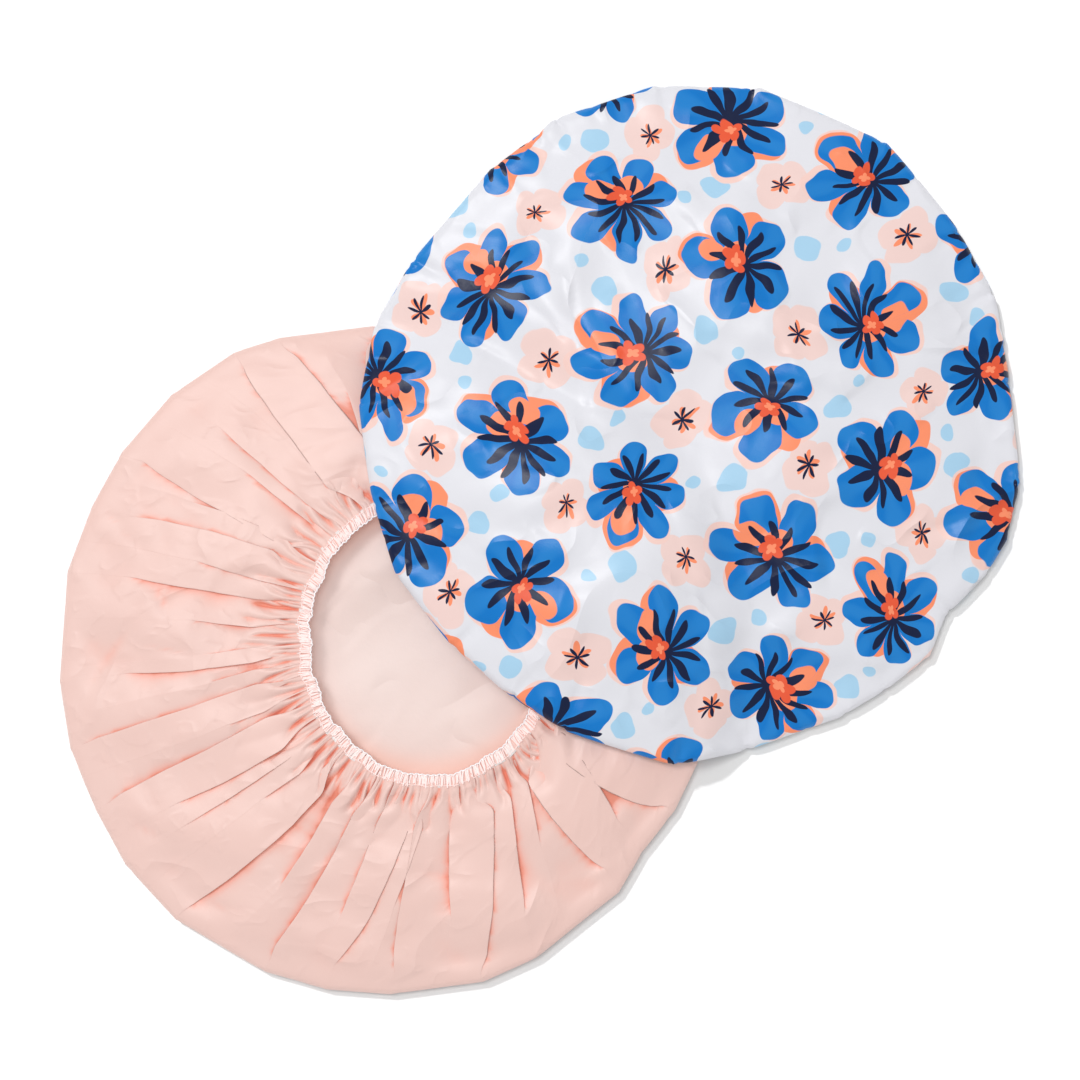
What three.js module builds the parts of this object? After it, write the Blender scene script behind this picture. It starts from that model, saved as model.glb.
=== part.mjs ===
// A set of two elasticated shower caps lying on a table. The plain cap lies upside down, so its
// gathered skirt and its elastic opening face up. The printed cap lies crown up, and covers the
// plain cap's far right side. Units are millimetres, +Z is up, and the origin is the middle of the
// set at table height.
//
// Each cap is sewn from a round outer shell and a round waterproof lining. Their edges are gathered
// onto a flat elastic, whose butted ends are joined by a tack, and bound to it by an overlock seam.

import * as THREE from "three";

// Driving dimensions of both caps.
const capRadius = 145; // mean radius of a cap lying flat
const rimHeight = 7.5; // height of the soft fold between crown and skirt
const shellWall = 0.9;
const liningWall = 0.6;
const layerGap = 0.35; // clearance between pieces that lie on each other
const elasticWidth = 5;
const elasticThickness = 0.9;
const tackLength = 3; // of the tack between the elastic's two ends, along the elastic
const loopWidth = 4.4; // how far the overlock's looper threads reach over the hem
const loopThickness = 0.6;
const stitchWidth = 0.8; // of the needle thread's line of stitches
const stitchThickness = 0.5;
const hemMargin = 0.7; // flat cloth between the elastic and the first gathers
const creaseDepth = 4; // of the gathers' creases, near the hem
const columnCount = 52; // every second column is a crease, and the others are ridges

// The plain cap: where its opening lies, and how high its hem stands.
const plainOpeningRadius = 53.7;
const plainOpeningStretch = 3.9; // how much longer than that the opening is along its long axis
const plainOpeningShift = new THREE.Vector2(21.6, 8.7); // from the cap's centre
const plainHemHeight = 18;
const openingTurn = THREE.MathUtils.degToRad(95); // direction of the openings' long axis

// The printed cap: where it lies from the plain cap, and its domed crown.
const printedShift = new THREE.Vector2(135.5, 102.4);
const printedOpeningRadius = 54;
const printedOpeningStretch = 2;
const printedOpeningShift = new THREE.Vector2(10, 6);
const printedHemLift = 3.2; // of the hem above what the skirt lies on
const crownRise = 20; // of the crown's middle above its rim
const restClearance = 0.9; // between the plain cap and the printed one that lies on it
const drapeReach = 34; // how far past the plain cap's rim the printed cap still slopes down

// Corners of the rims, where a pleat ends and the cloth turns: direction, and share of the radius.
const plainCornerDegrees = [
  10, 30, 52, 72, 91, 107, 115, 128, 141, 152, 164, 184, 196,
  208, 219, 232, 250, 261, 272, 288, 298, 316, 324, 333, 342,
];
const plainCornerShares = [
  1.01, 1.0, 0.995, 1.0, 1.009, 1.018, 1.026, 1.015, 0.997, 0.981, 0.977, 0.965, 0.968,
  0.966, 0.983, 0.995, 1.002, 1.008, 1.011, 1.023, 1.019, 1.011, 0.987, 1.005, 1.015,
];
const printedCornerDegrees = [
  7, 15, 23, 36, 48, 55, 78, 96, 114, 118, 128, 150, 163, 177,
  193, 207, 222, 236, 248, 267, 279, 297, 307, 316, 323, 333, 340, 350,
];
const printedCornerShares = [
  0.975, 0.982, 1.002, 1.002, 1.016, 1.039, 1.04, 1.028, 1.011, 0.99, 0.979, 0.977, 0.995, 0.995,
  0.98, 0.991, 0.976, 0.978, 0.992, 1.027, 1.003, 0.996, 0.998, 1.008, 0.966, 1.003, 1.02, 1.015,
];

// Stations of the layers' rings, as shares of the way across the crown and down the skirt.
const plainCrownShares = [0.5];
const printedCrownShares = [0.35, 0.7];
const skirtShares = [0.3, 0.62, 0.9];
const shellRimDegrees = [-90, -45, 0, 45, 90]; // round the fold, from the crown to the skirt
const liningRimDegrees = [-90, 0, 90];
const creasePeakShare = 0.8; // where on the skirt the creases are deepest
const creaseStartShare = 0.05; // where the longest creases start
const creaseSpreadShare = 0.4; // how much nearer the hem the shortest creases start
const creaseStep = 2.4; // radians between neighbours, so that long and short creases mix

// Sizes worked out from the driving dimensions.
const rimFold = rimHeight / 2; // radius of the fold
const edgeInset = loopThickness + layerGap; // from the opening to the cloth's cut edge
const hemWidth = edgeInset + elasticWidth + hemMargin;
const elasticDepth = shellWall + layerGap; // depths are measured inwards from the shell's outside
const hemLiningDepth = elasticDepth + elasticThickness + layerGap;
const loopDepth = hemLiningDepth + liningWall + layerGap;
const hemTop = layerGap + loopThickness; // of the looper threads above the shell

const clothColour = { plain: 0xf4cfc3, printed: 0xe9eaf0 };
const threadColour = { plain: 0xf7e6e4, printed: 0xf2f3f6 };

const smooth = (share) => THREE.MathUtils.smoothstep(share, 0, 1);
const direction = (turn) => new THREE.Vector2(Math.cos(turn), Math.sin(turn));
const turnOf = (column) => (column / columnCount) * 2 * Math.PI;

// Distance from the centre to the straight line between the two corners on each side of a turn.
function rimRadius(turn, cornerDegrees, cornerShares) {
  const round = 2 * Math.PI;
  const at = ((turn % round) + round) % round;
  const corners = cornerDegrees.map((degrees, i) => ({
    turn: THREE.MathUtils.degToRad(degrees),
    radius: capRadius * cornerShares[i],
  }));
  const last = corners[corners.length - 1];
  const first = corners[0];
  corners.unshift({ turn: last.turn - round, radius: last.radius });
  corners.push({ turn: first.turn + round, radius: first.radius });
  const i = corners.findIndex((corner) => corner.turn > at);
  const [before, after] = [corners[i - 1], corners[i]];
  const fromBefore = before.radius * Math.sin(at - before.turn);
  const toAfter = after.radius * Math.sin(after.turn - at);
  return (before.radius * after.radius * Math.sin(after.turn - before.turn)) / (fromBefore + toAfter);
}

// Depth of a column's crease at a share of the way from the rim to the hem.
function creaseAt(column, share) {
  if (column % 2 === 0) return 0;
  const start = creaseStartShare + creaseSpreadShare * (0.5 + 0.5 * Math.sin(creaseStep * column));
  const rising = smooth((share - start) / (creasePeakShare - start));
  const falling = smooth((1 - share) / (1 - creasePeakShare));
  return creaseDepth * Math.min(rising, falling);
}

// The shape that a cap's pieces share. A cap is a closed bag: crown, rim, skirt and hem.
// side is 1 where the opening faces up and -1 where it faces down.
class CapShape {
  constructor({ centre, opening, openingRadius, openingStretch, corners, side, crownZ, skirtZ }) {
    Object.assign(this, { centre, opening, openingRadius, openingStretch, corners, side });
    Object.assign(this, { crownZ, skirtZ });
  }

  rimRadius(turn) {
    return rimRadius(turn, ...this.corners);
  }

  hemRadius(turn) {
    return this.openingRadius + this.openingStretch * Math.cos(2 * (turn - openingTurn));
  }

  crownPoint(column, share, depth) {
    const turn = turnOf(column);
    const reach = (this.rimRadius(turn) - rimFold) * share;
    const plan = direction(turn).multiplyScalar(reach).add(this.centre);
    return new THREE.Vector3(plan.x, plan.y, this.crownZ(plan, share) + this.side * depth);
  }

  rimPoint(column, degrees, depth) {
    const turn = turnOf(column);
    const bend = THREE.MathUtils.degToRad(degrees);
    const foldStart = this.rimRadius(turn) - rimFold;
    const base = direction(turn).multiplyScalar(foldStart).add(this.centre);
    const middle = (this.crownZ(base, 1) + this.skirtZ(base, 0)) / 2;
    const reach = foldStart + (rimFold - depth) * Math.cos(bend);
    const plan = direction(turn).multiplyScalar(reach).add(this.centre);
    const height = middle + this.side * (rimFold - depth) * Math.sin(bend);
    return new THREE.Vector3(plan.x, plan.y, height);
  }

  skirtPoint(column, share, depth) {
    const turn = turnOf(column);
    const start = direction(turn).multiplyScalar(this.rimRadius(turn) - rimFold).add(this.centre);
    const end = direction(turn).multiplyScalar(this.hemRadius(turn) + hemWidth).add(this.opening);
    const plan = start.lerp(end, share);
    const inward = depth + creaseAt(column, share);
    return new THREE.Vector3(plan.x, plan.y, this.skirtZ(plan, share) - this.side * inward);
  }

  // A point of the hem: out from the opening, and inwards from the shell's outside.
  hemPoint(column, out, depth) {
    const turn = turnOf(column);
    const outer = direction(turn).multiplyScalar(this.hemRadius(turn) + hemWidth).add(this.opening);
    const plan = direction(turn).multiplyScalar(this.hemRadius(turn) + out).add(this.opening);
    return new THREE.Vector3(plan.x, plan.y, this.skirtZ(outer, 1) - this.side * depth);
  }

  // How far a point in plan lies from the rim towards the hem: below 0 outside the cap, and over 1
  // inside the opening. The cap's rings of equal share are found by halving.
  shareAt(plan) {
    let low = -1;
    let high = 2;
    const halvings = 30;
    for (let i = 0; i < halvings; i++) {
      const share = (low + high) / 2;
      const middle = this.centre.clone().lerp(this.opening, share);
      const from = plan.clone().sub(middle);
      const turn = Math.atan2(from.y, from.x);
      const rim = this.rimRadius(turn) - rimFold;
      const hem = this.hemRadius(turn) + hemWidth;
      if (from.length() > rim + (hem - rim) * share) high = share;
      else low = share;
    }
    return (low + high) / 2;
  }
}

// One closed body from rings of points. It closes at two poles, or else its last ring meets its first.
// Its diagonals mirror at the middle ring, so that the two faces of a folded layer stay parallel.
function bodyOfRings(rings, side, poles = null) {
  const points = rings.flat();
  const width = rings[0].length;
  const faces = [];
  const bands = poles ? rings.length - 1 : rings.length;
  for (let ring = 0; ring < bands; ring++) {
    const next = (ring + 1) % rings.length;
    const mirrored = ring >= rings.length / 2;
    for (let i = 0; i < width; i++) {
      const j = (i + 1) % width;
      const [a, b] = [ring * width + i, ring * width + j];
      const [c, d] = [next * width + i, next * width + j];
      const rising = (i % 2 === 0) !== mirrored;
      if (rising) faces.push([a, c, b], [b, c, d]);
      else faces.push([a, c, d], [a, d, b]);
    }
  }
  if (poles) {
    const [start, end] = [points.length, points.length + 1];
    points.push(...poles);
    const lastRing = (rings.length - 1) * width;
    for (let i = 0; i < width; i++) {
      const j = (i + 1) % width;
      faces.push([start, i, j], [lastRing + j, lastRing + i, end]);
    }
  }
  const outwards = side < 0 ? faces : faces.map(([a, b, c]) => [a, c, b]);
  const geometry = new THREE.BufferGeometry();
  geometry.setAttribute(
    "position",
    new THREE.Float32BufferAttribute(points.flatMap((point) => point.toArray()), 3),
  );
  geometry.setIndex(outwards.flat());
  geometry.computeVertexNormals();
  return geometry;
}

const eachColumn = (point) => Array.from({ length: columnCount }, (_, column) => point(column));

// A cloth layer: its outer face from the crown to the hem, and its inner face back again.
function layerBody(shape, { depth, wall, hemDepth, crownShares, rimDegrees }) {
  const face = (extra) => [
    ...crownShares.map((share) => eachColumn((i) => shape.crownPoint(i, share, depth + extra))),
    ...rimDegrees.map((degrees) => eachColumn((i) => shape.rimPoint(i, degrees, depth + extra))),
    ...skirtShares.map((share) => eachColumn((i) => shape.skirtPoint(i, share, depth + extra))),
    eachColumn((i) => shape.hemPoint(i, hemWidth, hemDepth + extra)),
    eachColumn((i) => shape.hemPoint(i, edgeInset, hemDepth + extra)),
  ];
  const pole = (extra) => shape.crownPoint(0, 0, depth + extra);
  return bodyOfRings([...face(0), ...face(wall).reverse()], shape.side, [pole(0), pole(wall)]);
}

const shellBody = (shape, crownShares) =>
  layerBody(shape, { depth: 0, wall: shellWall, hemDepth: 0, crownShares, rimDegrees: shellRimDegrees });

const liningBody = (shape, crownShares) =>
  layerBody(shape, {
    depth: shellWall + layerGap,
    wall: liningWall,
    hemDepth: hemLiningDepth,
    crownShares,
    rimDegrees: liningRimDegrees,
  });

// A ring piece of the hem: its section, as pairs of distance out and depth, carried round the opening.
function hemRing(shape, section) {
  const rings = section.map(([out, depth]) => eachColumn((i) => shape.hemPoint(i, out, depth)));
  return bodyOfRings(rings, shape.side);
}

// An open strip of the hem with a flat cut at both ends. stops holds whole columns, and at its two
// ends places between columns.
function hemStrip(shape, section, stops) {
  const pointAt = (stop, [out, depth]) => {
    const column = Math.floor(stop);
    const here = shape.hemPoint(column, out, depth);
    return here.lerp(shape.hemPoint(column + 1, out, depth), stop - column);
  };
  const rings = stops.map((stop) => section.map((corner) => pointAt(stop, corner)));
  const middle = (ring) => ring.reduce((sum, point) => sum.add(point), new THREE.Vector3());
  const poles = [rings[0], rings[rings.length - 1]].map((ring) => middle(ring).divideScalar(ring.length));
  return bodyOfRings(rings, -shape.side, poles);
}

const rectangle = (out, width, depth, thickness) => [
  [out, depth],
  [out, depth + thickness],
  [out + width, depth + thickness],
  [out + width, depth],
];

const elasticSection = rectangle(edgeInset, elasticWidth, elasticDepth, elasticThickness);
const stitchSection = rectangle(
  loopWidth + layerGap,
  stitchWidth,
  -layerGap - stitchThickness,
  stitchThickness,
);
// The looper threads wrap the hem's edge: over the shell, round the opening, and under the lining.
const loopSection = [
  [loopWidth, -layerGap],
  [loopWidth, -hemTop],
  [0, -hemTop],
  [0, loopDepth + loopThickness],
  [loopWidth, loopDepth + loopThickness],
  [loopWidth, loopDepth],
  [loopThickness, loopDepth],
  [loopThickness, -layerGap],
];

// Places of the elastic's two ends and of the tack between them, counted in columns past column 0.
function elasticStops(shape) {
  const across = (out) => shape.hemPoint(0, out, 0).distanceTo(shape.hemPoint(1, out, 0));
  const columnLength = across(edgeInset);
  const tackEnd = tackLength / 2 / columnLength;
  const stripStart = (tackLength / 2 + layerGap) / columnLength;
  const inner = (from, to) => Array.from({ length: to - from + 1 }, (_, i) => from + i);
  return {
    strip: [stripStart, ...inner(1, columnCount - 1), columnCount - stripStart],
    tack: [columnCount - tackEnd, columnCount, columnCount + tackEnd],
  };
}

function clothMaterial(colour) {
  return new THREE.MeshStandardMaterial({ color: colour, roughness: 0.6, metalness: 0 });
}

function threadMaterial(colour) {
  return new THREE.MeshStandardMaterial({ color: colour, roughness: 0.85, metalness: 0 });
}

function cap(name, shape, crownShares) {
  const group = new THREE.Group();
  const stops = elasticStops(shape);
  const pieces = {
    shell: [shellBody(shape, crownShares), clothMaterial(clothColour[name])],
    lining: [liningBody(shape, crownShares), clothMaterial(clothColour.plain)],
    elastic: [hemStrip(shape, elasticSection, stops.strip), threadMaterial(threadColour.printed)],
    elastic_tack: [hemStrip(shape, elasticSection, stops.tack), threadMaterial(threadColour[name])],
    looper_thread: [hemRing(shape, loopSection), threadMaterial(threadColour[name])],
    needle_thread: [hemRing(shape, stitchSection), threadMaterial(threadColour[name])],
  };
  for (const [piece, [geometry, material]] of Object.entries(pieces)) {
    const mesh = new THREE.Mesh(geometry, material);
    mesh.name = `${name}_${piece}`;
    group.add(mesh);
  }
  return group;
}

// The skirt's slope up from the rim, steep at first and level at the hem.
const slope = (share) => share * (2 - share);

const plainCentre = new THREE.Vector2();
const plainShape = new CapShape({
  centre: plainCentre,
  opening: plainCentre.clone().add(plainOpeningShift),
  openingRadius: plainOpeningRadius,
  openingStretch: plainOpeningStretch,
  corners: [plainCornerDegrees, plainCornerShares],
  side: 1,
  crownZ: () => 0,
  skirtZ: (plan, share) => rimHeight + (plainHemHeight - rimHeight) * slope(share),
});

// Height of what the printed cap lies on: the plain cap, level across its opening, and past its rim
// a slope down to the table.
function restHeight(plan) {
  const share = plainShape.shareAt(plan);
  const top = plainHemHeight + hemTop;
  if (share >= 0) {
    return rimHeight + (top - rimHeight) * slope(Math.min(share, 1)) + restClearance;
  }
  const skirtWidth = capRadius - plainOpeningRadius;
  return (rimHeight + restClearance) * (1 - smooth((-share * skirtWidth) / drapeReach));
}

const printedCentre = plainCentre.clone().add(printedShift);
const printedShape = new CapShape({
  centre: printedCentre,
  opening: printedCentre.clone().add(printedOpeningShift),
  openingRadius: printedOpeningRadius,
  openingStretch: printedOpeningStretch,
  corners: [printedCornerDegrees, printedCornerShares],
  side: -1,
  crownZ: (plan, share) => restHeight(plan) + rimHeight + crownRise * (1 - share * share),
  skirtZ: (plan, share) => restHeight(plan) + printedHemLift * slope(share),
});

const caps = new THREE.Group();
caps.add(cap("plain", plainShape, plainCrownShares), cap("printed", printedShape, printedCrownShares));

const bounds = new THREE.Box3().setFromObject(caps);
const middle = bounds.getCenter(new THREE.Vector3());
caps.position.set(-middle.x, -middle.y, 0);

const showerCaps = new THREE.Group();
showerCaps.add(caps);

export default showerCaps;
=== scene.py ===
"""A set of two elasticated shower caps on a white table, seen from straight above.

The plain cap lies upside down: its skirt is folded into overlapping pleats that run in to the elastic
opening. The printed cap lies crown up and covers the plain cap's far right side. Each piece is worked
out here as a surface of two parameters, in the solids' millimetres, and becomes a mesh in metres.
"""

import logging
import math
import sys
from dataclasses import dataclass, field
from enum import Enum

import bpy
import numpy as np
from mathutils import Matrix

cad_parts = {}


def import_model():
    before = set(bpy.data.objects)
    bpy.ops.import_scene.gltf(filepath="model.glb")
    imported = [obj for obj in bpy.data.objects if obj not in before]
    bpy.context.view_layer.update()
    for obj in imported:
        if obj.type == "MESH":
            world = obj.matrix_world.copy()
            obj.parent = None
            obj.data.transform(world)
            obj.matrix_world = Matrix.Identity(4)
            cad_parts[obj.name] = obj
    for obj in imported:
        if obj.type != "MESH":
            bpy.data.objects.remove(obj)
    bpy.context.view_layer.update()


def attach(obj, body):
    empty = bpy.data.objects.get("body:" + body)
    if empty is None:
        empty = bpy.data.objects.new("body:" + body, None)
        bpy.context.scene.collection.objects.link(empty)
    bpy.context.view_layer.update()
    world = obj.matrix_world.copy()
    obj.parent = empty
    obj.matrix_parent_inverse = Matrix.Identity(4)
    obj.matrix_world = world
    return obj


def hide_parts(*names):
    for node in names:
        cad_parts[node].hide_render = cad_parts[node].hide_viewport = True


Array = np.ndarray
Pair = tuple[float, float]
Triple = tuple[float, float, float]
Colour = tuple[float, float, float, float]
Thing = bpy.types.Object
Finish = bpy.types.Material
Node = bpy.types.Node
Socket = bpy.types.NodeSocket
Tree = bpy.types.NodeTree

LOG = logging.getLogger("shower_caps")

MM = 0.001
TURN = 2.0 * math.pi
TINY = 1e-9


# Helpers for smooth steps and repeatable noise

def smooth(x: Array | float) -> Array:
    """Return the smooth step of x: 0 below 0, 1 above 1 and 3x^2 - 2x^3 between."""
    x = np.clip(x, 0.0, 1.0)
    return x * x * (3.0 - 2.0 * x)


def ramp(x: Array | float, start: float, length: float) -> Array:
    """Return the smooth step of x that begins at start and is done a length further on."""
    return smooth((x - start) / length)


def slope(x: Array | float) -> Array:
    """Return x(2 - x), a rise that is steep at 0 and level at 1."""
    return x * (2.0 - x)


def gaps_round(turns: Array) -> Array:
    """Return the angle from each of some rising directions to the next one round the circle."""
    return np.diff(np.concatenate([turns, turns[:1] + TURN]))


class PlaneNoise:
    """Smooth noise over a plane: a sum of waves of one length, in seeded directions and phases."""

    WAVES = 9

    def __init__(self, seed: int, wavelength: float) -> None:
        """Draw the waves.

        Args:
            seed: seed of the draw.
            wavelength: mean length of a wave, in the plane's units.
        """
        rng, waves = np.random.default_rng(seed), self.WAVES
        turn = rng.uniform(0.0, TURN, waves)
        number = TURN / (wavelength * rng.uniform(0.7, 1.4, waves))
        self.kx = number * np.cos(turn)
        self.ky = number * np.sin(turn)
        self.phase = rng.uniform(0.0, TURN, waves)
        self.scale = math.sqrt(2.0 / waves)

    def at(self, x: Array, y: Array) -> Array:
        """Return the noise at points of the plane, with a spread of about 1.

        Args:
            x, y: places in plan.

        Returns:
            The noise at each place.
        """
        total = np.zeros(np.broadcast(x, y).shape)
        for kx, ky, phase in zip(self.kx, self.ky, self.phase):
            total += np.sin(kx * x + ky * y + phase)
        return total * self.scale


class RingNoise:
    """Smooth noise round a circle, from seeded values that are joined by smooth steps."""

    def __init__(self, rng: np.random.Generator, count: int) -> None:
        """Draw one value from -1 to 1 for each of count places round the circle."""
        self.values = rng.uniform(-1.0, 1.0, count)
        self.count = count

    def at(self, turn: Array) -> Array:
        """Return the noise at angles in radians.

        Args:
            turn: the angles.

        Returns:
            The noise at each angle, from -1 to 1.
        """
        place = np.mod(turn / TURN, 1.0) * self.count
        first = np.floor(place).astype(int) % self.count
        share = smooth(place - np.floor(place))
        after = (first + 1) % self.count
        return self.values[first] * (1.0 - share) + self.values[after] * share


class Side(Enum):
    """Which way a cap's opening faces; the value is the sign of its outward height."""

    OPEN_UP = 1
    OPEN_DOWN = -1


class Layer(Enum):
    """A cap's two sheets of cloth."""

    SHELL = "shell"
    LINING = "lining"


# Plan shapes, shared with the solids: lengths are millimetres, directions are from +X towards +Y

@dataclass(frozen=True)
class RimOutline:
    """A rim in plan: straight from corner to corner, where each corner is a pleat's end."""

    degrees: tuple[float, ...]
    shares: tuple[float, ...]
    radius: float = 145.0

    def radius_at(self, turn: Array) -> Array:
        """Return the distance from the centre to the outline.

        The straight side between corners at turns t0 and t1 with radii r0 and r1 has a radius of
        r0 r1 sin(t1 - t0) / (r0 sin(t - t0) + r1 sin(t1 - t)).

        Args:
            turn: directions in radians.

        Returns:
            The radii in millimetres.
        """
        turns = np.radians(np.array(self.degrees))
        radii = self.radius * np.array(self.shares)
        turns = np.concatenate([turns[-1:] - TURN, turns, turns[:1] + TURN])
        radii = np.concatenate([radii[-1:], radii, radii[:1]])
        at = np.mod(turn, TURN)
        after = np.clip(np.searchsorted(turns, at, side="right"), 1, len(turns) - 1)
        t0, t1, r0, r1 = turns[after - 1], turns[after], radii[after - 1], radii[after]
        return r0 * r1 * np.sin(t1 - t0) / (r0 * np.sin(at - t0) + r1 * np.sin(t1 - at))


@dataclass(frozen=True)
class CapPlan:
    """Where a cap and its opening lie in plan."""

    centre: Pair
    opening_shift: Pair
    opening_radius: float
    opening_stretch: float
    outline: RimOutline
    hem_width: float = 6.65
    rim_fold: float = 3.75
    opening_turn: float = math.radians(95.0)
    halvings: int = 24

    def hem_radius(self, turn: Array) -> Array:
        """Return the opening's radius at directions from its own centre."""
        return self.opening_radius + self.opening_stretch * np.cos(2.0 * (turn - self.opening_turn))

    def crown(self, turn: Array, reach: Array) -> tuple[Array, Array]:
        """Return plan points at a share of the way from the cap's centre to its fold."""
        radius = (self.outline.radius_at(turn) - self.rim_fold) * reach
        return self.centre[0] + radius * np.cos(turn), self.centre[1] + radius * np.sin(turn)

    def past_fold(self, turn: Array, out: Array) -> tuple[Array, Array]:
        """Return plan points at a distance outside the circle where the fold starts."""
        radius = self.outline.radius_at(turn) - self.rim_fold + out
        return self.centre[0] + radius * np.cos(turn), self.centre[1] + radius * np.sin(turn)

    def hem(self, turn: Array, out: Array) -> tuple[Array, Array]:
        """Return plan points at a distance outside the opening's edge.

        Args:
            turn: directions from the opening's centre.
            out: distances in millimetres.

        Returns:
            The x and y of the points.
        """
        radius = self.hem_radius(turn) + out
        x = self.centre[0] + self.opening_shift[0] + radius * np.cos(turn)
        y = self.centre[1] + self.opening_shift[1] + radius * np.sin(turn)
        return x, y

    def skirt(self, turn: Array, share: Array) -> tuple[Array, Array]:
        """Return plan points at a share of the way from the rim's fold to the hem.

        Args:
            turn: directions from the centres.
            share: 0 at the rim's fold, 1 at the hem.

        Returns:
            The x and y of the points.
        """
        x0, y0 = self.crown(turn, np.ones_like(turn))
        x1, y1 = self.hem(turn, self.hem_width)
        return x0 + (x1 - x0) * share, y0 + (y1 - y0) * share

    def share_at(self, x: Array, y: Array) -> Array:
        """Return how far plan points lie from the rim, 0, towards the hem, 1; below 0 is outside.

        The ring of a share s lies round c + s d at a radius of rim + (hem - rim) s, with c the cap's
        centre and d the opening's shift. Halving finds the share of a point's own ring.

        Args:
            x, y: places in plan.

        Returns:
            The shares.
        """
        low = np.full(np.shape(x), -1.0)
        high = np.full(np.shape(x), 2.0)
        for _ in range(self.halvings):
            share = (low + high) / 2.0
            dx = x - self.centre[0] - self.opening_shift[0] * share
            dy = y - self.centre[1] - self.opening_shift[1] * share
            turn = np.arctan2(dy, dx)
            rim = self.outline.radius_at(turn) - self.rim_fold
            hem = self.hem_radius(turn) + self.hem_width
            inside = np.hypot(dx, dy) > rim + (hem - rim) * share
            high = np.where(inside, share, high)
            low = np.where(inside, low, share)
        return (low + high) / 2.0


# Folds of a gathered skirt

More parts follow.
